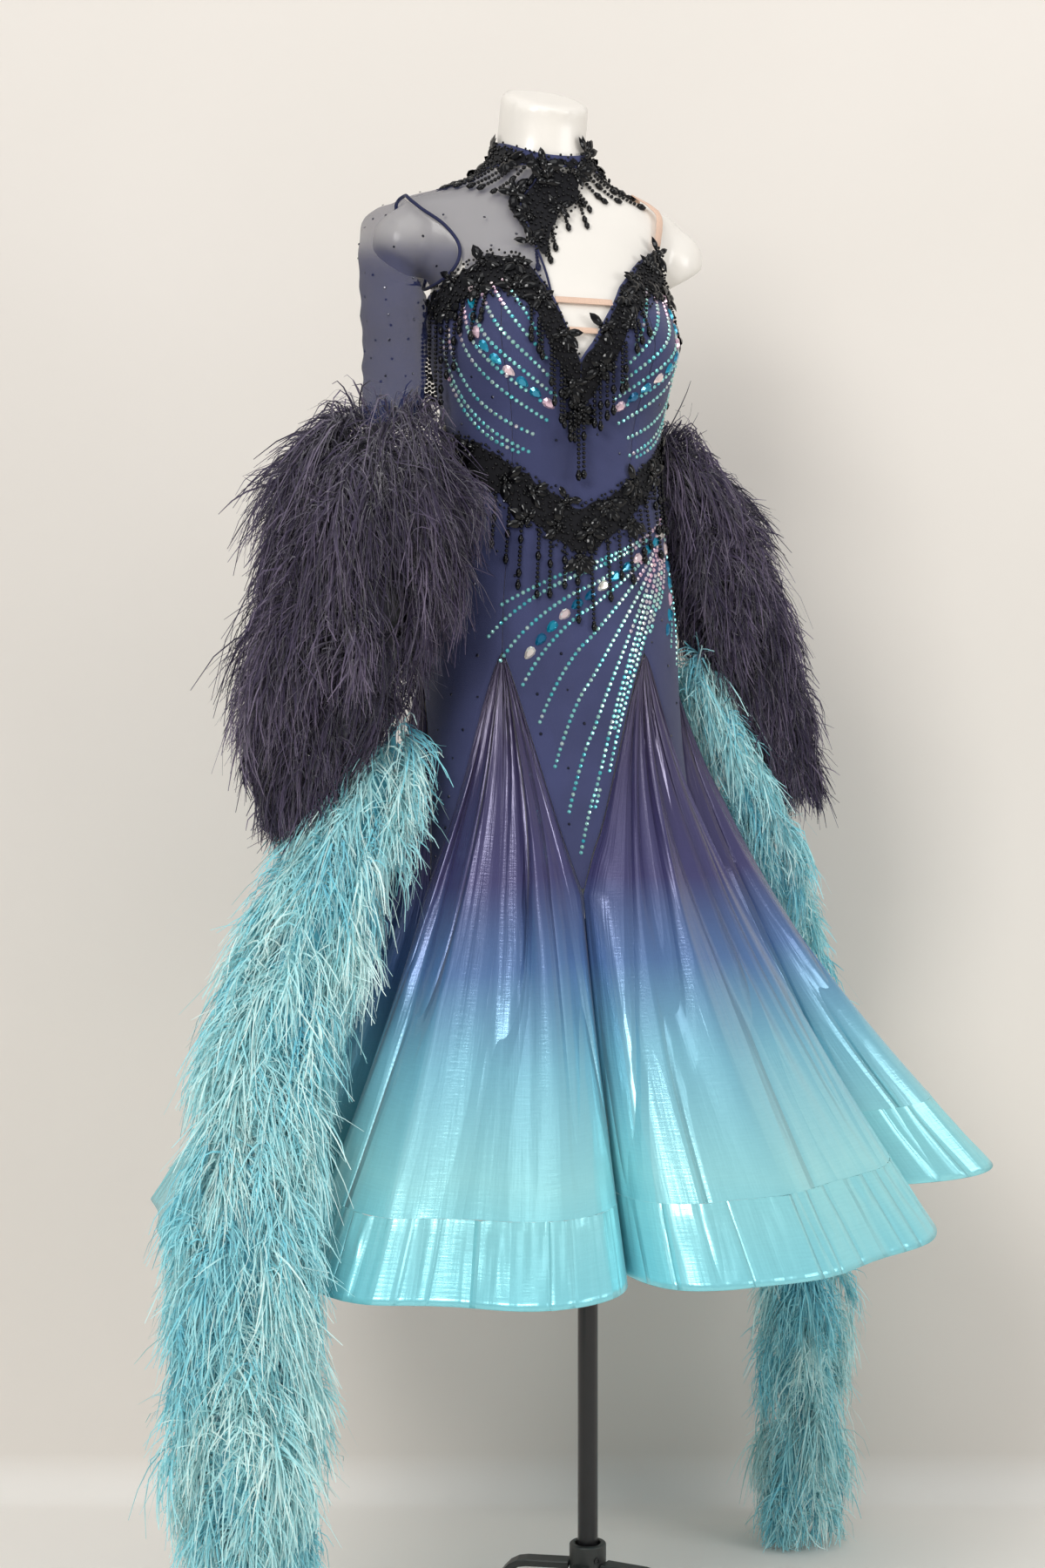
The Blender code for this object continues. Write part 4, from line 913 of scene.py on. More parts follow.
def add_form():
    grid = form_rings()
    rows, sides = grid.shape[:2]
    quads = grid_faces(rows, sides, ring=True)
    points = np.concatenate((grid.reshape(-1, 3), grid[:1].mean(axis=1), grid[-1:].mean(axis=1)))
    low, high = rows * sides, rows * sides + 1
    around = np.arange(sides)
    after = (around + 1) % sides
    start = (rows - 1) * sides
    bottom = np.stack((np.full(sides, low), after, around), axis=1)
    top = np.stack((np.full(sides, high), start + around, start + after), axis=1)
    faces = np.concatenate((quads[:, [0, 1, 2]], quads[:, [0, 2, 3]], bottom, top))
    form = mesh_object("dress_form_shell", points, faces, white)
    for side in (-1, 1):
        joined(form, stump(f"stump_{side}", side))
    blend = form.modifiers.new("blend", "REMESH")
    blend.mode, blend.voxel_size, blend.use_smooth_shade = "VOXEL", 0.0065, True
    ease = form.modifiers.new("ease", "SMOOTH")
    ease.factor, ease.iterations = 0.5, 6
    settle(form)
    wear(form, ["dress_form"])


def stump(name, side, sides=48, rows=24):
    """What is left of an arm of the form, on the side -1 or 1."""
    latitude = np.linspace(-math.pi / 2, math.pi / 2, rows)[:, None]
    longitude = round_turns(sides)
    x, y = np.cos(latitude) * np.cos(longitude), np.cos(latitude) * np.sin(longitude)
    sphere = np.stack(np.broadcast_arrays(x, y, np.sin(latitude)), axis=-1).reshape(-1, 3)
    points = np.concatenate([np.array(middle) + sphere * radii for middle, radii in STUMP_BALLS])
    beyond = np.maximum(0.0, (points - STUMP_CUT) @ STUMP_WAY)
    points -= beyond[:, None] * STUMP_WAY
    points[:, 0] = BODY_X + side * points[:, 0]
    shell = bmesh.new()
    for point in points:
        shell.verts.new(point)
    bmesh.ops.remove_doubles(shell, verts=shell.verts, dist=0.0004)
    hull = bmesh.ops.convex_hull(shell, input=shell.verts)
    spare = hull["geom_interior"] + hull["geom_unused"]
    inside = {part for part in spare if isinstance(part, bmesh.types.BMVert)}
    bmesh.ops.delete(shell, geom=list(inside), context="VERTS")
    mesh = bpy.data.meshes.new(name)
    shell.to_mesh(mesh)
    shell.free()
    made = bpy.data.objects.new(name, mesh)
    bpy.context.scene.collection.objects.link(made)
    return made


def joined(keeper, other):
    """The other closed mesh made one with the keeper."""
    step = keeper.modifiers.new(other.name, "BOOLEAN")
    step.operation, step.object, step.solver = "UNION", other, "EXACT"
    settle(keeper)
    bpy.data.objects.remove(other, do_unlink=True)


def settle(piece):
    """The piece's modifiers made part of its mesh."""
    graph = bpy.context.evaluated_depsgraph_get()
    mesh = bpy.data.meshes.new_from_object(piece.evaluated_get(graph))
    piece.modifiers.clear()
    old = piece.data
    piece.data = mesh
    bpy.data.meshes.remove(old)


def lathe(name, profile, finish, sides=72):
    """A turned shape about the pole's axis from (radius, height) rows."""
    profile = np.array(profile)
    radius, height = profile[:, :1], profile[:, 1:]
    angle = round_turns(sides)
    heights = np.broadcast_to(height, (len(profile), sides))
    grid = np.stack((radius * np.cos(angle), radius * np.sin(angle), heights), axis=-1)
    return mesh_object(name, grid, grid_faces(len(profile), sides, ring=True), finish)


def with_round_corners(profile, radius=0.0008):
    """The profile with each corner cut back to a small arc."""
    profile = np.array(profile, float)
    rounded = [profile[0]]
    for before, corner, after in zip(profile, profile[1:], profile[2:]):
        first, last = before - corner, after - corner
        reach = min(radius, np.linalg.norm(first) / 2.5, np.linalg.norm(last) / 2.5)
        a = corner + first / np.linalg.norm(first) * reach
        b = corner + last / np.linalg.norm(last) * reach
        rounded += [on_curve(t, a, corner, b) for t in (0.0, 0.33, 0.67, 1.0)]
    rounded.append(profile[-1])
    return rounded


def heading(turn):
    """The level way out from the axis at a turn."""
    return np.array((math.sin(math.radians(turn)), -math.cos(math.radians(turn)), 0.0))


LEG_TURNS = (-122.0, 157.0, 40.0, -43.0)
# a leg's line: reach, height
LEG_LINE = ((0.0221, 0.115), (0.088, 0.115), (0.170, 0.004), (0.340, 0.004))
LEG_HALF_WIDTH, LEG_HALF_THICKNESS = 0.011, 0.004
# the corners of its section, as shares of both
LEG_SECTION = (
    (-1, -0.7), (-0.93, -1), (0.93, -1), (1, -0.7), (1, 0.7), (0.93, 1), (-0.93, 1), (-1, 0.7),
)
# the collar's outline: radius, height
COLLAR_PROFILE = (
    (0.0, 0.0), (0.048, 0.0), (0.048, 0.010), (0.0255, 0.010), (0.0215, 0.014), (0.0215, 0.1385),
    (0.0200, 0.140), (0.0155, 0.140), (0.0150, 0.1385), (0.0150, 0.060), (0.0, 0.060),
)


def closing(ring):
    """A row that draws a ring in almost to its middle."""
    middle = ring.mean(axis=1, keepdims=True)
    return middle + (ring - middle) * 0.02


def add_leg(number, turn):
    """A flat bar, bent twice: out from the collar, down, and out along the floor."""
    line = np.array(with_round_corners(LEG_LINE, 0.016))
    tangent = unit(np.gradient(line, axis=0))
    normal = np.stack((-tangent[:, 1], tangent[:, 0]), axis=1)
    normal[0], normal[-1] = (0, 1), (0, 1)
    angle = math.radians(turn)
    out, beside = heading(turn), np.array((math.cos(angle), math.sin(angle), 0.0))
    grid = []
    for (reach, height), (across, up) in zip(line, normal):
        for wide, thick in LEG_SECTION:
            place = (reach + across * LEG_HALF_THICKNESS * thick) * out
            place = place + beside * LEG_HALF_WIDTH * wide
            place[2] = max(height + up * LEG_HALF_THICKNESS * thick, 0.0)
            grid.append(place)
    grid = np.array(grid).reshape(len(line), len(LEG_SECTION), 3)
    grid = np.concatenate((closing(grid[:1]), grid, closing(grid[-1:])))
    faces = grid_faces(*grid.shape[:2], ring=True)
    leg = mesh_object(f"leg_{number}", grid, faces, grey_paint, smooth=False)
    wear(leg, [f"stand_leg_{number}"], "stand")


def add_stand():
    pole = [(0.0, POLE_FOOT), (POLE_RADIUS, POLE_FOOT), (POLE_RADIUS, POLE_TOP), (0.0, POLE_TOP)]
    rows = with_round_corners(pole, 0.0006)
    wear(lathe("pole", rows, black_paint), ["stand_pole"])
    rows = with_round_corners(COLLAR_PROFILE, 0.0012)
    wear(lathe("collar", rows, grey_paint, 96), ["stand_collar"], "stand")
    for number, turn in enumerate(LEG_TURNS, 1):
        add_leg(number, turn)
    screw = bpy.data.objects["set_screw"]
    screw.data.materials.clear()
    screw.data.materials.append(black_paint)


add_form()
add_stand()

# ---- beads and stones ------------------------------------------------------------------------

UP = np.array((0.0, 0.0, 1.0))


def scattered(template, places, sizes, axes):
    """Copies of a template; axes holds each copy's x, y and z directions as rows."""
    points, faces = template
    copies = np.einsum("vk,nk,nkj->nvj", points, sizes, axes) + places[:, None, :]
    numbered = faces[None] + (np.arange(len(places)) * len(points))[:, None, None]
    return copies.reshape(-1, 3), numbered.reshape(-1, 3)


def together(parts):
    """Several sets of points and faces made one."""
    points, faces, count = [], [], 0
    for some_points, some_faces in parts:
        points.append(some_points)
        faces.append(some_faces + count)
        count += len(some_points)
    return np.concatenate(points), np.concatenate(faces)


def add_beads(name, parts, finish, nodes=(), **settings):
    """The copies as one piece, which rides with the form."""
    points, faces = together(parts)
    wear(mesh_object(name, points, faces, finish, **settings), nodes)


def stone_sizes(size):
    """Each stone's size along its three axes, a little flatter than it is wide."""
    return np.stack((size, size, size * 0.9), axis=1)


def frames(normals, headings):
    """Axes with z along each normal and x nearest each heading."""
    normals = unit(normals)
    x = unit(headings - (headings * normals).sum(axis=1, keepdims=True) * normals)
    return np.stack((x, np.cross(normals, x), normals), axis=1)


def round_bead():
    golden = (1 + math.sqrt(5)) / 2
    points = np.array(
        [(-1, golden, 0), (1, golden, 0), (-1, -golden, 0), (1, -golden, 0)]
        + [(0, -1, golden), (0, 1, golden), (0, -1, -golden), (0, 1, -golden)]
        + [(golden, 0, -1), (golden, 0, 1), (-golden, 0, -1), (-golden, 0, 1)]
    )
    faces = np.array(
        [(0, 11, 5), (0, 5, 1), (0, 1, 7), (0, 7, 10), (0, 10, 11), (1, 5, 9), (5, 11, 4)]
        + [(11, 10, 2), (10, 7, 6), (7, 1, 8), (3, 9, 4), (3, 4, 2), (3, 2, 6), (3, 6, 8)]
        + [(3, 8, 9), (4, 9, 5), (2, 4, 11), (6, 2, 10), (8, 6, 7), (9, 8, 1)]
    )
    return unit(points), faces


def gem(outline, height, table):
    """A cut stone: a girdle, a slanting ring of facets and a flat table on top."""
    outline = np.array(outline, float)
    count = len(outline)
    base = np.column_stack((outline, np.zeros(count)))
    top = np.column_stack((outline * table, np.full(count, height)))
    points = np.concatenate((base, top, [(0.0, 0.0, height * 1.04)]))
    i = np.arange(count)
    j = (i + 1) % count
    faces = [
        np.stack((i, j, count + j), axis=1),
        np.stack((i, count + j, count + i), axis=1),
        np.stack((count + i, count + j, np.full(count, 2 * count)), axis=1),
    ]
    return points, np.concatenate(faces)


def circle(count):
    angle = np.arange(count) / count * math.tau
    return np.stack((np.cos(angle), np.sin(angle)), axis=1)


def drop_outline():
    """A teardrop that points along +x."""
    angle = np.arange(10) / 10 * math.tau
    narrow = 0.62 * (1 - 0.35 * np.cos(angle)) * np.sin(angle)
    return np.stack((np.cos(angle), narrow), axis=1)


LEAF_OUTLINE = (
    (1, 0), (0.5, 0.30), (0, 0.40), (-0.5, 0.30), (-1, 0), (-0.5, -0.30), (0, -0.40), (0.5, -0.30),
)
BEAD = round_bead()
STONE = gem(circle(7), 0.55, 0.58)
DROP = gem(drop_outline(), 0.42, 0.60)
LEAF = gem(LEAF_OUTLINE, 0.34, 0.45)
BUTTON = gem(circle(8), 0.50, 0.55)


def spot_axes(turn, height, angle):
    """Axes on the gown's face, with x at an angle from level (radians)."""
    normal = outwards(turn, height)
    level = unit(body(turn + 0.5, height) - body(turn - 0.5, height))
    rise = np.cross(normal, level)
    along = np.cos(angle)[:, None] * level + np.sin(angle)[:, None] * rise
    return frames(normal, along)


def curve_points(corners, pitch):
    """Places at even steps of real length along a Bezier curve in turn and height."""
    corners = np.array(corners, float)
    t = np.linspace(0, 1, 400)[:, None]
    degree = len(corners) - 1
    line = sum(
        math.comb(degree, k) * (1 - t) ** (degree - k) * t**k * corner
        for k, corner in enumerate(corners)
    )
    reach = lengths_along(body(*line.T))
    at = np.arange(pitch / 2, reach[-1], pitch)
    after, before = along_line(at + 0.001, reach, line), along_line(at - 0.001, reach, line)
    way = unit(body(*after.T) - body(*before.T))
    return along_line(at, reach, line), way, at / reach[-1]


# The stone layout: Bezier corners in (turn, height), a fan on each cup, one at the hip and
# sprays under the bust.
CUP_FAN = [
    ((62, 1.560), (60, 1.500), (40, 1.470), (16, 1.440)),
    ((58, 1.572), (54, 1.515), (36, 1.484), (13, 1.452)),
    ((53, 1.582), (48, 1.530), (32, 1.500), (12, 1.466)),
    ((47, 1.590), (41, 1.545), (28, 1.516), (14, 1.484)),
    ((41, 1.598), (34, 1.560), (25, 1.535), (16, 1.505)),
    ((35, 1.602), (28, 1.575), (23, 1.552), (19, 1.528)),
]
CUP_UNDER = [
    ((70, 1.548), (72, 1.480), (52, 1.448), (22, 1.424)),
    ((76, 1.536), (80, 1.470), (56, 1.432), (24, 1.404)),
    ((78, 1.500), (74, 1.452), (54, 1.420), (30, 1.404)),
]
HIP_FAN = [
    ((64, 1.340), (20, 1.300), (-10, 1.270), (-38, 1.232)),
    ((62, 1.335), (18, 1.290), (-18, 1.262), (-44, 1.196)),
    ((60, 1.330), (20, 1.280), (-16, 1.245), (-37, 1.170)),
    ((58, 1.326), (22, 1.272), (-8, 1.230), (-27, 1.140)),
    ((56, 1.322), (24, 1.262), (-2, 1.215), (-20, 1.096)),
    ((54, 1.318), (26, 1.250), (4, 1.200), (-14, 1.048)),
    ((52, 1.314), (27, 1.240), (8, 1.180), (-9.5, 0.996)),
    ((50, 1.310), (28, 1.232), (12, 1.170), (-6.0, 0.952)),
    ((50, 1.304), (30, 1.226), (15, 1.165), (-1.0, 0.996)),
    ((52, 1.300), (34, 1.224), (19, 1.170), (6.0, 1.046)),
    ((54, 1.296), (38, 1.222), (23, 1.185), (14.0, 1.104)),
    ((57, 1.292), (43, 1.225), (29, 1.205), (20.0, 1.158)),
]
HIP_SIDE = [
    ((66, 1.330), (72, 1.290), (60, 1.240), (52, 1.188)),
    ((70, 1.330), (78, 1.285), (70, 1.230), (60, 1.168)),
    ((74, 1.328), (86, 1.285), (80, 1.225), (70, 1.150)),
    ((78, 1.324), (94, 1.285), (92, 1.225), (80, 1.140)),
]
CUP_DROPS = [((52, 1.600), (56, 1.520), (34, 1.492), (10, 1.448))]
HIP_DROPS = [
    ((61, 1.322), (30, 1.296), (2, 1.262), (-24, 1.176)),
    ((62, 1.312), (64, 1.262), (54, 1.222), (46, 1.196)),
]


def mirrored(curves):
    """The curves on the body's other side."""
    return [tuple((-turn, height) for turn, height in curve) for curve in curves]


def free_of(spots, taken, gap):
    """Which spots keep a clear gap from the ones already taken."""
    if not len(taken):
        return np.ones(len(spots), bool)
    far = np.linalg.norm(spots[:, None, :] - taken[None, :, :], axis=2).min(axis=1)
    return far > gap


DROP_CURVES = (*mirrored(CUP_DROPS), *CUP_DROPS, *HIP_DROPS)
STONE_CURVES = (
    *mirrored(CUP_FAN), *CUP_FAN, *mirrored(CUP_UNDER), *CUP_UNDER, *HIP_FAN, *HIP_SIDE,
)
DROP_PITCH, DROP_GAP = 0.0198, 0.0105  # along a curve, and from stones already laid
STONE_PITCH, STONE_GAP = 0.0068, 0.0050
STONE_LIFT = 0.0002  # of a stone's back off the cloth


def lay_stones():
    """Rows of big drops, then of small stones. It returns the places that they take up."""
    rng = np.random.default_rng(7)
    taken = np.zeros((0, 3))
    parts, tones = [], []
    for number, curve in enumerate(DROP_CURVES + STONE_CURVES):
        drops = number < len(DROP_CURVES)
        spots, way, share = curve_points(curve, DROP_PITCH if drops else STONE_PITCH)
        real = body(*spots.T)
        keep = free_of(real, taken, DROP_GAP if drops else STONE_GAP)
        count = int(keep.sum())
        if not count:
            continue
        spots, way, share, real = spots[keep], way[keep], share[keep], real[keep]
        taken = np.concatenate((taken, real))
        normal = unit(outwards(*spots.T) + rng.normal(0, 0.05, (count, 3)))
        places, axes = real + normal * STONE_LIFT, frames(normal, way)
        if drops:
            taken = np.concatenate((taken, real + way * 0.0056, real - way * 0.0056))
            sizes = np.tile((0.0084, 0.0084, 0.0066), (count, 1))
            pale, deep = rng.uniform(0.82, 1.0, count), rng.uniform(0.0, 0.22, count)
            tone = np.where(np.arange(count) % 3 < 1, pale, deep)
        else:
            sizes = stone_sizes(0.00265 + 0.0002 * rng.random(count) - 0.0004 * share**2)
            near_start = 0.42 * np.maximum(0, 0.42 - share) * 2
            tone = np.clip(0.50 + near_start + rng.normal(0, 0.08, count), 0.25, 1.0)
        template = DROP if drops else STONE
        parts.append(scattered(template, places, sizes, axes))
        tones.append(np.repeat(tone, len(template[0])))
    add_beads("rhinestones", parts, stone_glass, smooth=False, tone=np.concatenate(tones))
    return taken


# the least distance between dark stones on the body, between those on the sleeve, and from
# the ones on the body to the stones of the fans
BODY_GAP, SLEEVE_GAP, FAN_GAP = 0.033, 0.028, 0.012


def over_armhole(turn, height):
    """Whether a place lies over the armhole, or within some millimetres of its edge."""
    across = (turn - ARMHOLE_TURN) / (ARMHOLE_HALF_TURN + 3)
    up = (height - ARMHOLE_HEIGHT) / (ARMHOLE_HALF_HEIGHT + 0.005)
    return across**2 + up**2 < 1


def lay_dark_stones(taken):
    """Small dark stones scattered over the jersey, the net and the sleeve."""
    rng = np.random.default_rng(11)
    spots = []
    turns = rng.uniform(-180, 180, 6000)
    heights = rng.uniform(0.93, 1.735, 6000)
    for turn, height in zip(turns, heights):
        if height < APEX_HEIGHT and not on_panel(turn, height):
            continue
        if height > top_edge(turn) and not -178 < turn < YOKE_FRONT_TURN - 2:
            continue
        if over_armhole(turn, height):
            continue
        place = body(turn, height)
        if spots and min(np.linalg.norm(place - other[0]) for other in spots) < BODY_GAP:
            continue
        if not free_of(place[None], taken, FAN_GAP)[0]:
            continue
        lift = NET_EASE if height > top_edge(turn) else 0.0
        spots.append((place, turn, height, lift))
    turn, height, lift = np.array([spot[1:] for spot in spots]).T
    axes = spot_axes(turn, height, rng.uniform(0, 3, len(spots)))
    places = on_body(turn, height, lift + STONE_LIFT)
    sizes = stone_sizes(rng.uniform(0.0014, 0.0021, len(spots)))
    parts = [scattered(STONE, places, sizes, axes)]
    grid = sleeve_grid()
    centre = grid.mean(axis=1)
    chosen = []
    for _ in range(900):
        row, column = rng.integers(4, 58), rng.integers(0, grid.shape[1])
        place = grid[row, column]
        if chosen and min(np.linalg.norm(place - other[0]) for other in chosen) < SLEEVE_GAP:
            continue
        chosen.append((place, unit(place - centre[row])))
    places, normals = np.array([spot[0] for spot in chosen]), np.array([spot[1] for spot in chosen])
    sizes = stone_sizes(rng.uniform(0.0013, 0.0019, len(chosen)))
    axes = frames(normals, np.tile(UP, (len(chosen), 1)))
    parts.append(scattered(STONE, places + normals * 0.0012, sizes, axes))
    add_beads("scattered_stones", parts, dark_glass, smooth=False)


MIDDLING_HEM, SEAM_MARGIN = 0.55, 2.5  # a height, and the degrees kept clear beside a godet


def on_panel(turn, height):
    """Whether a place below the apex lies on a hip panel and not on a godet."""
    for index, before in enumerate(GODETS):
        after = GODETS[(index + 1) % len(GODETS)]
        lap = 360.0 if after[1] < before[1] else 0.0
        down = (APEX_HEIGHT - height) / (APEX_HEIGHT - MIDDLING_HEM)
        first = float(godet_edges(before, down)[1]) + SEAM_MARGIN
        last = float(godet_edges(after, down)[0]) + lap - SEAM_MARGIN
        for candidate in (turn, turn + 360.0):
            if first < candidate < last:
                return True
    return False


# ---- black appliques and their hanging strands -----------------------------------------------

# each applique's edges: turn, upper height, lower height
RIGHT_CUP_BEADS = np.array((
    (-86.0, 1.596, 1.556), (-72.0, 1.601, 1.560), (-52.0, 1.619, 1.576), (-35.0, 1.636, 1.585),
    (-21.0, 1.630, 1.560), (-13.5, 1.588, 1.510), (-7.0, 1.538, 1.465), (-2.6, 1.508, 1.445),
))
LEFT_CUP_BEADS = np.array((
    (-2.2, 1.508, 1.445), (5.0, 1.546, 1.478), (12.0, 1.576, 1.520), (20.0, 1.604, 1.560),
    (32.0, 1.631, 1.582), (46.0, 1.656, 1.594), (56.0, 1.631, 1.578), (72.0, 1.585, 1.545),
    (88.0, 1.563, 1.534),
))
BACK_BEADS = np.array((
    (91.0, 1.561, 1.534), (120.0, 1.545, 1.518), (150.0, 1.535, 1.508), (180.0, 1.527, 1.500),
    (220.0, 1.537, 1.510), (248.0, 1.576, 1.546), (257.0, 1.582, 1.550),
))
WAIST_BEADS = np.array((
    (-100.0, 1.435, 1.395), (-75.0, 1.430, 1.385), (-52.0, 1.415, 1.365), (-32.0, 1.390, 1.335),
    (-14.0, 1.365, 1.308), (-2.0, 1.348, 1.286), (10.0, 1.358, 1.302), (32.0, 1.390, 1.340),
    (58.0, 1.425, 1.380), (90.0, 1.440, 1.400),
))
THROAT_BEADS = np.array((
    (-18.0, 1.7425, 1.690), (-14.0, 1.7425, 1.645), (-10.0, 1.7425, 1.628), (-5.0, 1.7425, 1.655),
    (0.0, 1.7425, 1.685), (8.0, 1.7425, 1.708), (15.0, 1.7425, 1.726),
))
COLLAR_BEADS = np.array(
    [(turn, choker_top(turn) - 0.001, 1.740) for turn in np.linspace(-180.0, 180.0, 49)]
)
# how far a strand hangs off the gown's face: over cloth, and over the form's bare chest
STRAND_DEPTH, BARE_STRAND_DEPTH = 0.0040, -FORM_CLEARANCE + 0.0026
COLLAR_FOOT = 1.742  # where the collar's strands start
# name, its edges and how far its net lies off the gown's face
APPLIQUES = (
    ("right_cup", RIGHT_CUP_BEADS, 0.0012),
    ("left_cup", LEFT_CUP_BEADS, 0.0012),
    ("back", BACK_BEADS, 0.0012),
    ("waist", WAIST_BEADS, 0.0012),
    ("throat", THROAT_BEADS, 0.0020),
    ("collar", COLLAR_BEADS, 0.0024),
)


def ragged(turn, rng, reach):
    """An uneven edge of lobes, from 0 to reach."""
    lobes = np.zeros(np.shape(turn))
    for weight, pace in ((0.5, 11.0), (0.3, 19.0), (0.2, 41.0)):
        angle = np.radians(turn) * pace * rng.uniform(0.85, 1.15) + rng.uniform(0, 6)
        lobes += weight * np.abs(np.sin(angle))
    return reach * lobes


def edges_at(edges, turn):
    """The upper and lower heights of an applique."""
    return np.interp(turn, edges[:, 0], edges[:, 1]), np.interp(turn, edges[:, 0], edges[:, 2])


def spaced(places, gap):
    """Which places to keep, so that none is nearer than gap to one kept before it."""
    cells = np.floor(places / gap).astype(int).tolist()
    kept, held = [], {}
    for index, (cell, place) in enumerate(zip(cells, places.tolist())):
        near = [
            other
            for i in (-1, 0, 1)
            for j in (-1, 0, 1)
            for k in (-1, 0, 1)
            for other in held.get((cell[0] + i, cell[1] + j, cell[2] + k), ())
        ]
        if all(math.dist(place, other) >= gap for other in near):
            held.setdefault(tuple(cell), []).append(place)
            kept.append(index)
    return kept


def add_applique(name, edges, lift, seed):
    """A backing of net, with sprays of leaves and loose beads on it."""
    rng = np.random.default_rng(seed)
    first, last = edges[0, 0], edges[-1, 0]
    turn = np.linspace(first, last, max(30, int((last - first) / 0.8)))
    upper, lower = edges_at(edges, turn)
    low = lower - 0.003 + ragged(turn, rng, 0.012)
    high = upper + 0.001 - ragged(turn, rng, 0.008)
    height = low + np.linspace(0, 1, 8)[:, None] * (high - low)
    grid = on_body(np.broadcast_to(turn, height.shape), height, np.full(height.shape, lift))
    net_name = f"applique_{name}_net"
    grid_piece(net_name, grid, backing_net, [f"beading_{name}"])
    middle = body(turn, (upper + lower) / 2)
    along = float(np.linalg.norm(np.diff(middle, axis=0), axis=1).sum())
    CUTS[net_name] = (along, float((high - low).max()), CUTS[net_name][2])
    parts = []
    slim = name in ("throat", "collar", "back")
    spray_gap, bead_gap = (0.036, 0.0048) if slim else (0.031, 0.0046)
    add_sprays(parts, edges, lift, rng, spray_gap)
    add_loose_beads(parts, edges, lift, rng, bead_gap)
    add_beads(f"applique_{name}_beads", parts, jet)


def random_spots(edges, count, rng, margin=0.0):
    """Even random turns and heights over an applique and a margin round it, and its area."""
    fine = np.linspace(edges[0, 0], edges[-1, 0], 400)
    upper, lower = edges_at(edges, fine)
    real = body(fine, (upper + lower) / 2)
    width = np.linalg.norm(np.gradient(real, axis=0), axis=1) * (upper - lower)
    reach = np.cumsum(width)
    turn = np.interp(rng.random(count) * reach[-1], reach, fine)
    upper, lower = edges_at(edges, turn)
    height = lower - margin + rng.random(count) * (upper - lower + 1.5 * margin)
    return turn, height, float(reach[-1])


def add_sprays(parts, edges, lift, rng, gap):
    """Sprays of faceted leaves, each round a cut stone with a ring of beads."""
    turn, height, _ = random_spots(edges, 700, rng)
    kept = spaced(body(turn, height), gap)
    for t, h in zip(turn[kept], height[kept]):
        count = int(rng.integers(3, 7))
        fan = math.tau if rng.random() < 0.45 else rng.uniform(2.2, 4.2)
        angle = rng.uniform(0, math.tau) + np.arange(count) / count * fan
        angle = angle + rng.normal(0, 0.12, count)
        axes = spot_axes(np.full(count, t), np.full(count, h), angle)
        centre = on_body(t, h, np.array(lift + 0.0014))
        length = rng.uniform(0.0072, 0.0118, count)
        tilted = unit(axes[:, 2] - rng.uniform(0.0, 0.25, (count, 1)) * axes[:, 0])
        leaf_axes = frames(tilted, axes[:, 0])
        places = centre + axes[:, 0] * (length * 0.95 + 0.0026)[:, None] + axes[:, 2] * 0.0010
        sizes = np.stack((length, length * rng.uniform(1.1, 1.5, count), length * 0.75), axis=1)
        parts.append(scattered(LEAF, places, sizes, leaf_axes))
        button = rng.uniform(0.0030, 0.0050)
        x, y, z = axes[0]
        size = np.array([[button * 1.4, button, button * 1.1]])
        parts.append(scattered(BUTTON, (centre + z * 0.0014)[None], size, axes[:1]))
        around = circle(7) * (button + 0.0024)
        ring = centre + around[:, :1] * x + around[:, 1:] * y + z * 0.0010
        parts.append(scattered(BEAD, ring, np.full((7, 3), 0.0019), np.repeat(axes[:1], 7, axis=0)))


def add_loose_beads(parts, edges, lift, rng, gap):
    """Round beads of mixed sizes between the sprays, thinning out round them."""
    _, _, area = random_spots(edges, 4, rng)
    turn, height, _ = random_spots(edges, int(area / 9e-6), rng, 0.004)
    kept = spaced(body(turn, height), gap)
    turn, height = turn[kept], height[kept]
    size = rng.uniform(0.0015, 0.0022, len(turn))
    places = on_body(turn, height, lift + size * 0.8)
    axes = np.tile(np.eye(3), (len(turn), 1, 1))
    parts.append(scattered(BEAD, places, np.repeat(size[:, None], 3, axis=1), axes))


def hanging_line(turn, top, length, depth):
    """Points straight down from a start, lying on the body where it swells out."""
    heights = top - np.arange(0, length * 1.25, 0.001)
    surface = on_body(np.full(len(heights), turn), heights, np.full(len(heights), depth))
    way = heading(turn)
    side = np.array((-way[1], way[0], 0.0))
    centre = np.array((BODY_X, 0.0, 0.0))
    out = np.maximum.accumulate((surface - centre) @ way)
    offset = (surface - centre) @ side
    along = np.maximum.accumulate(np.abs(offset)) * np.sign(offset)
    line = centre + out[:, None] * way + along[:, None] * side
    line[:, 2] = heights
    return line, lengths_along(line)


BEAD_HALF, LONG_BEAD_HALF = 0.0025, 0.0066


def strand(parts, turn, top, length, depth, rng):
    """A strand of round beads, with long ones among some strands' beads and one at each tip."""
    line, reach = hanging_line(turn, top, length, depth)
    at, kinds, spot = [], [], 0.0
    every = int(rng.integers(4, 8)) if rng.random() < 0.55 else 99
    while spot < min(length, reach[-1] - 0.006):
        cut = len(at) % every == every - 1
        half = LONG_BEAD_HALF if cut else BEAD_HALF
        at.append(spot + half)
        kinds.append(cut)
        spot += 2 * half
    if len(at) < 3:
        return
    kinds[-1] = True
    at, kinds = np.array(at), np.array(kinds)
    places = along_line(at, reach, line)
    way = unit(along_line(at + 0.002, reach, line) - places)
    axes = frames(way, np.tile((1.0, 0.35, 0.0), (len(at), 1)))
    size = BEAD_HALF * rng.uniform(0.92, 1.06, len(at))
    sizes = np.stack((size, size, size), axis=1)
    sizes[kinds] = np.stack((size * 1.5, size * 1.5, size * 2.6), axis=1)[kinds]
    parts.append(scattered(BEAD, places, sizes, axes))


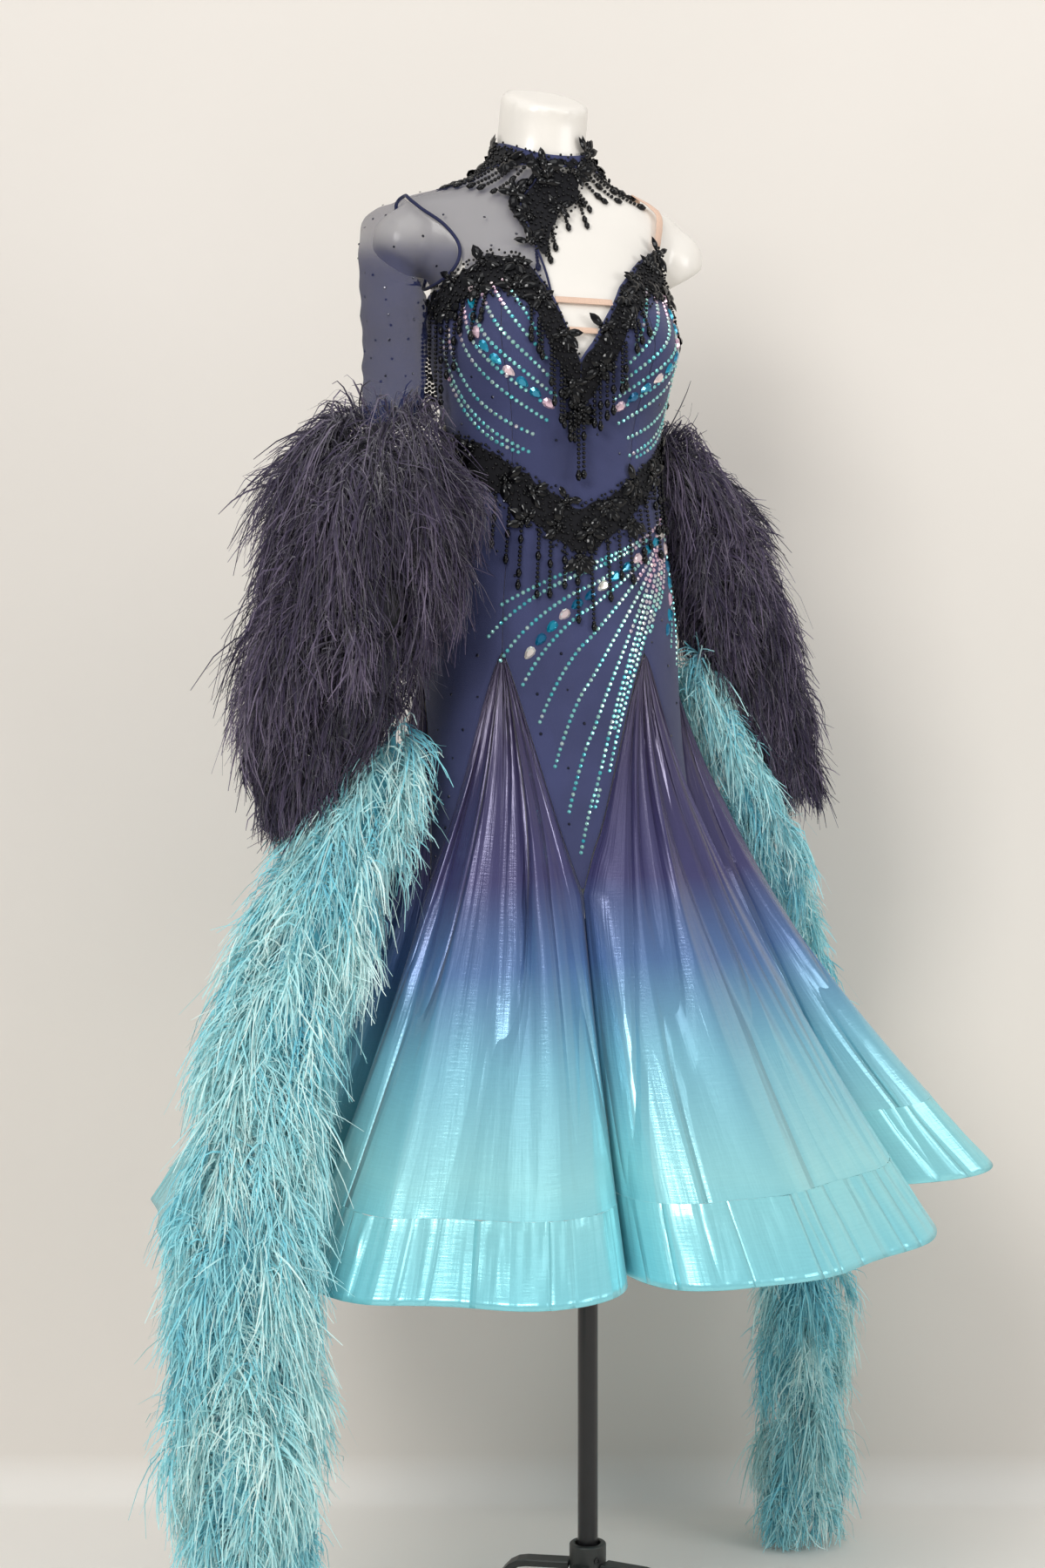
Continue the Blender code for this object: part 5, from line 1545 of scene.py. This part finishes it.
# name, spacing along the body, and rows of turn, upper end, lowest tip
FRINGES = (
    ("right_cup", 0.0120, (
        (-88, 1.560, 1.430), (-80, 1.562, 1.440), (-66, 1.572, 1.480), (-50, 1.580, 1.520),
        (-38, 1.582, 1.545),
    )),
    ("neckline", 0.0145, (
        (-24, 1.572, 1.525), (-13, 1.512, 1.430), (-2.4, 1.450, 1.375), (6, 1.488, 1.425),
        (14, 1.528, 1.480), (24, 1.570, 1.535),
    )),
    ("waist", 0.0190, (
        (-98, 1.400, 1.340), (-52, 1.370, 1.285), (-14, 1.312, 1.225), (-2, 1.292, 1.190),
        (10, 1.306, 1.222), (58, 1.384, 1.300), (88, 1.400, 1.330),
    )),
    ("back", 0.0165, (
        (93, 1.538, 1.470), (180, 1.504, 1.415), (240, 1.540, 1.450), (258, 1.552, 1.440),
    )),
)


def add_fringe(name, spacing, rows, seed):
    rng = np.random.default_rng(seed)
    rows = np.array(rows, float)
    fine = np.linspace(rows[0, 0], rows[-1, 0], 600)
    reach = lengths_along(body(fine, edges_at(rows, fine)[0]))
    parts = []
    for at in np.arange(spacing / 2, reach[-1], spacing):
        turn = float(np.interp(at + rng.uniform(-0.3, 0.3) * spacing, reach, fine))
        upper, lower = edges_at(rows, turn)
        top = upper + 0.004
        strand(parts, turn, top, (top - lower) * rng.uniform(0.50, 1.0), STRAND_DEPTH, rng)
    add_beads(f"strands_{name}", parts, jet, [f"fringe_{name}"])


def add_collar_strands():
    """Strands that fall from the collar over the net, the shoulder and the bare chest."""
    rng = np.random.default_rng(91)
    parts = []
    for turn in np.arange(-176.0, 180.0, 11.5):
        turn = turn + rng.uniform(-2.2, 2.2)
        depth = BARE_STRAND_DEPTH if YOKE_FRONT_TURN < turn < 178.0 else STRAND_DEPTH
        side = math.exp(-(((turn - 42) / 40) ** 2)) + 0.6 * math.exp(-(((turn + 95) / 45) ** 2))
        length = rng.uniform(0.030, 0.050) + 0.030 * side * rng.random()
        strand(parts, turn, COLLAR_FOOT, length, depth, rng)
    for turn in np.arange(-12.0, 15.0, 4.6):
        top = edges_at(THROAT_BEADS, turn)[1] + 0.004
        beside, length = rng.uniform(-1.2, 1.2), rng.uniform(0.018, 0.050)
        strand(parts, turn + beside, top, length, BARE_STRAND_DEPTH, rng)
    add_beads("strands_collar", parts, jet)


stone_places = lay_stones()
lay_dark_stones(stone_places)
for number, (name, edges, lift) in enumerate(APPLIQUES):
    add_applique(name, edges, lift, 300 + number)
for number, (name, spacing, rows) in enumerate(FRINGES):
    add_fringe(name, spacing, rows, 400 + number)
add_collar_strands()

# ---- feathers --------------------------------------------------------------------------------

# Reach of the plumes, level by level: (height, x, y, radius).
RIGHT_CUFF = np.array((
    (0.988, -0.372, -0.048, 0.025), (1.043, -0.370, -0.050, 0.061), (1.094, -0.349, -0.058, 0.100),
    (1.142, -0.335, -0.064, 0.118), (1.190, -0.320, -0.072, 0.115), (1.237, -0.311, -0.080, 0.120),
    (1.298, -0.301, -0.085, 0.125), (1.356, -0.291, -0.092, 0.126), (1.398, -0.290, -0.055, 0.092),
    (1.430, -0.268, -0.046, 0.062), (1.450, -0.255, -0.038, 0.044),
))
RIGHT_BOA = np.array((
    (0.250, -0.474, -0.240, 0.060), (0.290, -0.474, -0.240, 0.086), (0.400, -0.476, -0.241, 0.092),
    (0.500, -0.487, -0.250, 0.080), (0.565, -0.487, -0.246, 0.078), (0.611, -0.473, -0.222, 0.078),
    (0.677, -0.450, -0.172, 0.082), (0.735, -0.432, -0.145, 0.085), (0.798, -0.408, -0.130, 0.085),
    (0.867, -0.369, -0.105, 0.080), (0.931, -0.336, -0.086, 0.076), (0.995, -0.300, -0.054, 0.074),
    (1.063, -0.262, -0.040, 0.062), (1.105, -0.250, -0.040, 0.030),
))
LEFT_CUFF = np.array((
    (1.012, 0.306, 0.056, 0.025), (1.078, 0.278, 0.052, 0.045), (1.143, 0.254, 0.050, 0.062),
    (1.187, 0.222, 0.045, 0.080), (1.245, 0.195, 0.041, 0.070), (1.275, 0.194, 0.040, 0.074),
    (1.340, 0.173, 0.036, 0.076), (1.393, 0.127, 0.029, 0.041), (1.440, 0.0956, 0.0215, 0.013),
))
LEFT_BOA = np.array((
    (0.012, 0.428, 0.280, 0.050), (0.050, 0.428, 0.280, 0.070), (0.300, 0.428, 0.280, 0.072),
    (0.520, 0.430, 0.284, 0.068), (0.650, 0.422, 0.276, 0.064), (0.800, 0.360, 0.200, 0.060),
    (0.905, 0.290, 0.100, 0.050), (0.991, 0.240, 0.060, 0.045), (1.076, 0.195, 0.052, 0.036),
    (1.145, 0.163, 0.048, 0.024), (1.190, 0.166, 0.046, 0.014),
))


def reach_at(table, height):
    """The middle (x, y) and radius of the plumes' reach at these heights."""
    height = np.clip(height, table[0, 0], table[-1, 0])
    return [np.interp(height, table[:, 0], table[:, i]) for i in (1, 2, 3)]


def ribbons(starts, middles, ends, widths, segments=4):
    """Tapering flat barbs along quadratic curves, each facing its own way."""
    count = len(starts)
    t = np.linspace(0, 1, segments + 1)[None, :, None]
    line = on_curve(t, starts[:, None], middles[:, None], ends[:, None])
    way = unit(np.gradient(line, axis=1))
    rng = np.random.default_rng(count)
    spin = unit(rng.normal(0, 1, (count, 1, 3)))
    side = unit(np.cross(way, spin))
    taper = (1.0 - 0.72 * t**1.4) * widths[:, None, None] / 2
    grid = np.stack((line - side * taper, line + side * taper), axis=2)
    rows = segments + 1
    base = (np.arange(count) * rows * 2)[:, None, None]
    k = np.arange(segments)[None, :, None] * 2
    quads = base + k + np.array((0, 1, 3, 2))[None, None]
    return grid.reshape(-1, 3), quads.reshape(-1, 4), rows * 2


LOWEST_BARB = 0.003  # over the floor


def lay_quills(table, plumes, length, lean, rng):
    """The plumes' quills, even along the float and all round it: roots, bends and tips."""
    low, high = table[0, 0], table[-1, 0]
    order = rng.permutation(plumes)
    share = (np.arange(plumes) + rng.random(plumes)) / plumes
    root_height = low + (high - low) * share ** (0.72 if lean else 1.0)
    angle = order / plumes * math.tau * 13.0 + rng.uniform(-0.3, 0.3, plumes)
    drop = rng.uniform(0.35, 1.0, plumes) * length
    tip_height = np.maximum(root_height - drop, low + 0.004)
    x, y, radius = reach_at(table, root_height)
    away = np.stack((np.cos(angle), np.sin(angle), np.zeros(plumes)), axis=1)
    roots = np.stack((x, y, root_height), axis=1) + away * (radius * 0.22)[:, None]
    x, y, radius = reach_at(table, tip_height)
    angle = angle + rng.uniform(-0.35, 0.35, plumes)
    away = np.stack((np.cos(angle), np.sin(angle), np.zeros(plumes)), axis=1)
    out = (radius * rng.uniform(0.50, 0.88, plumes))[:, None]
    tips = np.stack((x, y, tip_height), axis=1) + away * out
    bends = (roots + tips) / 2 + away * (radius * 0.30)[:, None] + UP * 0.030
    return roots, bends, tips


def add_float(name, table, plumes, barbs, length, tail, lean, look, seed):
    """Ostrich plumes round a core: each has a curved quill with barbs down both its sides."""
    rng = np.random.default_rng(seed)
    low, high = table[0, 0], table[-1, 0]
    roots, bends, tips = lay_quills(table, plumes, length, lean, rng)
    # barbs along the quills: those of one plume lie much the same way
    quill = np.repeat(np.arange(plumes), barbs)
    count = len(quill)
    t = np.tile((np.arange(barbs) + 0.5) / barbs, plumes) ** 0.8
    t = np.clip(t + rng.normal(0, 0.012, count), 0.02, 1.0)[:, None]
    starts = on_curve(t, roots[quill], bends[quill], tips[quill])
    way = unit(2 * (1 - t) * (bends - roots)[quill] + 2 * t * (tips - bends)[quill])
    out = unit(starts - np.stack((*reach_at(table, starts[:, 2])[:2], starts[:, 2]), axis=1))
    hand = np.where(np.arange(count) % 2 == 0, -1, 1)[:, None]
    side = unit(np.cross(way, out)) * hand
    own = rng.normal(0, 0.34, (plumes, 3))[quill] + rng.normal(0, 0.26, (count, 3))
    beside = rng.uniform(0.45, 1.0, (plumes, 1))[quill] * (1 - 0.55 * t)
    beyond = rng.uniform(0.15, 1.10, (plumes, 1))[quill]
    crown = np.clip((starts[:, 2:] - high + 0.07) / 0.07, 0, 1) * lean
    toward = unit(way * 0.60 + side * beside + out * beyond + own + UP * crown)
    reach = length * rng.uniform(0.55, 1.0, (plumes, 1))[quill]
    reach = reach * rng.uniform(0.75, 1.1, (count, 1)) * (1.0 - 0.30 * t**2)
    fall = rng.uniform(0.25, 0.90, (plumes, 1))[quill] * rng.uniform(0.8, 1.2, (count, 1)) * reach
    middles = starts + toward * reach * 0.66 + UP * fall * 0.30
    ends = starts + toward * reach * 0.86 - UP * fall
    loose = rng.uniform(0.58, 1.14, plumes)[quill]
    ends += rng.normal(0, 0.22, (count, 3)) * reach
    ends = kept_within(table, ends, starts, loose, rng)
    middles = kept_within(table, middles, starts, loose, rng)
    # under the float's lowest level the barbs end at ragged lengths
    most = tail * np.clip(rng.exponential(0.8, count), 0.15, 2.2)
    under = most * (1.0 - np.exp(-np.maximum(low - ends[:, 2], 0.0) / most))
    ends[:, 2] = np.maximum(np.where(ends[:, 2] < low, low - under, ends[:, 2]), LOWEST_BARB)
    middles[:, 2] = np.maximum(middles[:, 2], max(LOWEST_BARB, low - tail))
    widths = rng.uniform(0.0011, 0.0028, count)
    points, faces, each = ribbons(starts, middles, ends, widths)
    # each barb's tone: at random by plume and barb, plus a rise from root to tip that paints shade
    # deep in the float and a pale highlight at the tips
    tone = rng.uniform(0.18, 0.85, plumes)[quill] + rng.normal(0, 0.10, count)
    along = np.tile(np.repeat(np.linspace(0, 1, each // 2), 2), count)
    tone = np.clip(np.repeat(tone, each) + 0.36 * along - 0.10, 0, 1)
    finish, slot = look
    piece = mesh_object(f"plumes_{name}", points, faces, finish, smooth=False, tone=tone)
    wear(piece, [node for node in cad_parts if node.startswith(f"feather_{name}")])


def kept_within(table, points, starts, loose, rng):
    """Points drawn back to near the plumes' reach: toward its middle, or along their own barb."""
    x, y, radius = reach_at(table, points[:, 2])
    away = points[:, :2] - np.stack((x, y), axis=1)
    far = np.linalg.norm(away, axis=1)
    wisp = rng.random(len(points)) < 0.20
    most = radius * loose * rng.uniform(0.80, 1.04, len(points))
    most += (0.006 + 0.028 * wisp) * rng.random(len(points))
    most += 0.030 * np.clip((points[:, 2] - table[-1, 0] + 0.06) / 0.06, 0, 1)
    share = np.minimum(1.0, most / np.maximum(far, 1e-9))[:, None]
    inward = points.copy()
    inward[:, :2] = np.stack((x, y), axis=1) + away * share
    shortened = starts + (points - starts) * share
    own_way = rng.uniform(0.0, 1.0, (len(points), 1))
    return inward + (shortened - inward) * own_way


def add_down(name, table, share, tone, look, seed):
    """The down under the barbs, as an uneven soft core that fills a share of their reach."""
    rng = np.random.default_rng(seed)
    heights = np.linspace(table[0, 0] + 0.012, table[-1, 0] - 0.008, 60)[:, None]
    angle = round_turns(40)
    x, y, radius = reach_at(table, heights)
    lumps = 0.0
    for _ in range(9):
        size, pace = rng.uniform(0.02, 0.09), rng.uniform(40, 190)
        around, phase = rng.integers(1, 6), rng.uniform(0, 6)
        lumps = lumps + size * np.sin(heights * pace + angle * around + phase)
    to_end = np.minimum((heights - heights[0]) / 0.04, (heights[-1] - heights) / 0.10)
    reach = radius * share * (1 + lumps) * np.clip(to_end, 0.08, 1) ** 0.6
    grid = (x + reach * np.cos(angle), y + reach * np.sin(angle), heights + 0 * angle)
    grid = np.stack(grid, axis=-1)
    faces = grid_faces(*grid.shape[:2], ring=True)
    finish, slot = look
    tones = np.full(grid.shape[:2], tone)
    wear(mesh_object(f"down_{name}", grid, faces, finish, tone=tones), [])


DARK, PALE = (dark_plume, "aubergine_plume"), (pale_plume, "turquoise_plume")
# name, reach, plumes, barbs on each and their length, how far the lowest hang under the reach,
# how much the topmost stand up, and finish with slot
FLOATS = (
    ("cuff_right", RIGHT_CUFF, 270, 64, 0.115, 0.020, 0.9, DARK),
    ("cuff_left", LEFT_CUFF, 180, 58, 0.100, 0.045, 0.7, DARK),
    ("boa_right", RIGHT_BOA, 350, 60, 0.100, 0.040, 0.0, PALE),
    ("boa_left", LEFT_BOA, 310, 54, 0.088, 0.020, 0.0, PALE),
)
# name, reach, the share of it that the down fills, its tone (as dark as the barbs' roots: painted
# shade deep in the float), and finish with slot
DOWNS = (
    ("cuff_right", RIGHT_CUFF, 0.50, 0.10, DARK),
    ("cuff_left", LEFT_CUFF, 0.46, 0.10, DARK),
    ("boa_right", RIGHT_BOA, 0.38, 0.12, PALE),
    ("boa_left", LEFT_BOA, 0.38, 0.12, PALE),
)
for number, row in enumerate(FLOATS):
    add_float(*row, 21 + number)
for number, row in enumerate(DOWNS):
    add_down(*row, 31 + number)

# ---- studio ----------------------------------------------------------------------------------

scene = bpy.context.scene
VIEW = np.array((0.3907, 0.9205, 0.0))  # the way the camera looks
BESIDE = np.array((0.9205, -0.3907, 0.0))
PHOTO_ROWS = 1800


def add_camera():
    """The photo's view: level, with the picture's middle shifted off the lens's."""
    lens = bpy.data.cameras.new("camera")
    lens.sensor_fit, lens.sensor_height, lens.lens = "VERTICAL", 36.0, 58.8
    lens.shift_x, lens.shift_y = -75 / PHOTO_ROWS, -110 / PHOTO_ROWS
    lens.clip_start, lens.clip_end = 0.05, 60.0
    eye = bpy.data.objects.new("camera", lens)
    eye.location = (-1.172, -2.7615, 1.14)
    eye.rotation_euler = Vector(VIEW).to_track_quat("-Z", "Y").to_euler()
    scene.collection.objects.link(eye)
    scene.camera = eye


WALL_REACH, SWEEP = 0.62, 0.06  # the wall behind the stand's axis, and the radius at its foot
FLOOR_DROP = 0.0006  # how far the floor lies under the stand's feet


def paper_finish():
    """Pale paper, lighter on the floor. The wall is open from behind: other views see past it."""
    paper = Finish("backdrop_paper", {"Roughness": 0.9, "Specular IOR Level": 0.15})
    cloud = paper.noise(paper.place("Object", (1.2, 1.2, 1.2)), 1.0, 2.0)
    wall = paper.ramp(cloud, ((0.2, srgb(227, 221, 213)), (0.8, srgb(233, 227, 220))))
    level = paper.node("SeparateXYZ", {0: paper.place("Object")}).outputs["Z"]
    rise = paper.node("MapRange", {0: level, 1: 0.0, 2: SWEEP}).outputs[0]
    paper.surface_from(Base_Color=paper.mix(rise, srgb(248, 244, 238), wall))
    behind = paper.node("NewGeometry").outputs["Backfacing"]
    clear = paper.node("BsdfTransparent").outputs[0]
    seen = paper.node("MixShader", {0: behind, 1: paper.surface.outputs[0], 2: clear}).outputs[0]
    paper.tree.links.new(seen, paper.tree.nodes["Material Output"].inputs["Surface"])
    return paper.material


def add_backdrop():
    """A floor that turns up into a wall in one smooth sweep, and the floor behind that wall."""
    paper = paper_finish()
    foot = WALL_REACH - SWEEP
    bend = [
        (foot + SWEEP * math.sin(angle), SWEEP * (1 - math.cos(angle)))
        for angle in np.linspace(0, math.pi / 2, 10)
    ]
    floor, wall = [(-6.0, 0.0), (-2.0, 0.0), (0.2, 0.0)], [(WALL_REACH, 1.5), (WALL_REACH, 4.5)]
    profiles = {
        "backdrop": [*floor, *bend, *wall],
        "floor_behind": [(foot, -0.001), (2.0, -0.001), (6.0, -0.001)],
    }
    sides = np.linspace(-5, 5, 12)
    for name, profile in profiles.items():
        rows = [
            [VIEW * reach + BESIDE * side + (0, 0, height - FLOOR_DROP) for side in sides]
            for reach, height in profile
        ]
        mesh_object(name, np.array(rows), grid_faces(len(rows), len(sides)), paper)


def add_light(name, place, target, size, power, colour=(1.0, 1.0, 1.0)):
    lamp = bpy.data.lights.new(name, "AREA")
    lamp.energy, lamp.color, lamp.size = power, colour, size
    made = bpy.data.objects.new(name, lamp)
    made.location = place
    made.rotation_euler = (Vector(target) - Vector(place)).to_track_quat("-Z", "Y").to_euler()
    scene.collection.objects.link(made)


def add_lights():
    world = bpy.data.worlds.new("studio")
    world.use_nodes = True
    world.node_tree.nodes["Background"].inputs["Color"].default_value = (0.95, 0.97, 1.0, 1.0)
    world.node_tree.nodes["Background"].inputs["Strength"].default_value = 0.42
    scene.world = world
    middle = (0.0, 0.0, 1.1)
    add_light("key", (-2.5, -2.6, 2.7), middle, 1.3, 74.0, (1.0, 0.985, 0.96))
    add_light("fill", (2.3, -2.9, 1.7), middle, 1.6, 34.0)
    add_light("top", (-0.4, -1.2, 3.6), (0.0, 0.1, 1.0), 1.8, 18.0)


add_camera()
add_backdrop()
add_lights()
scene.view_settings.view_transform = "Standard"

bpy.context.view_layer.update()
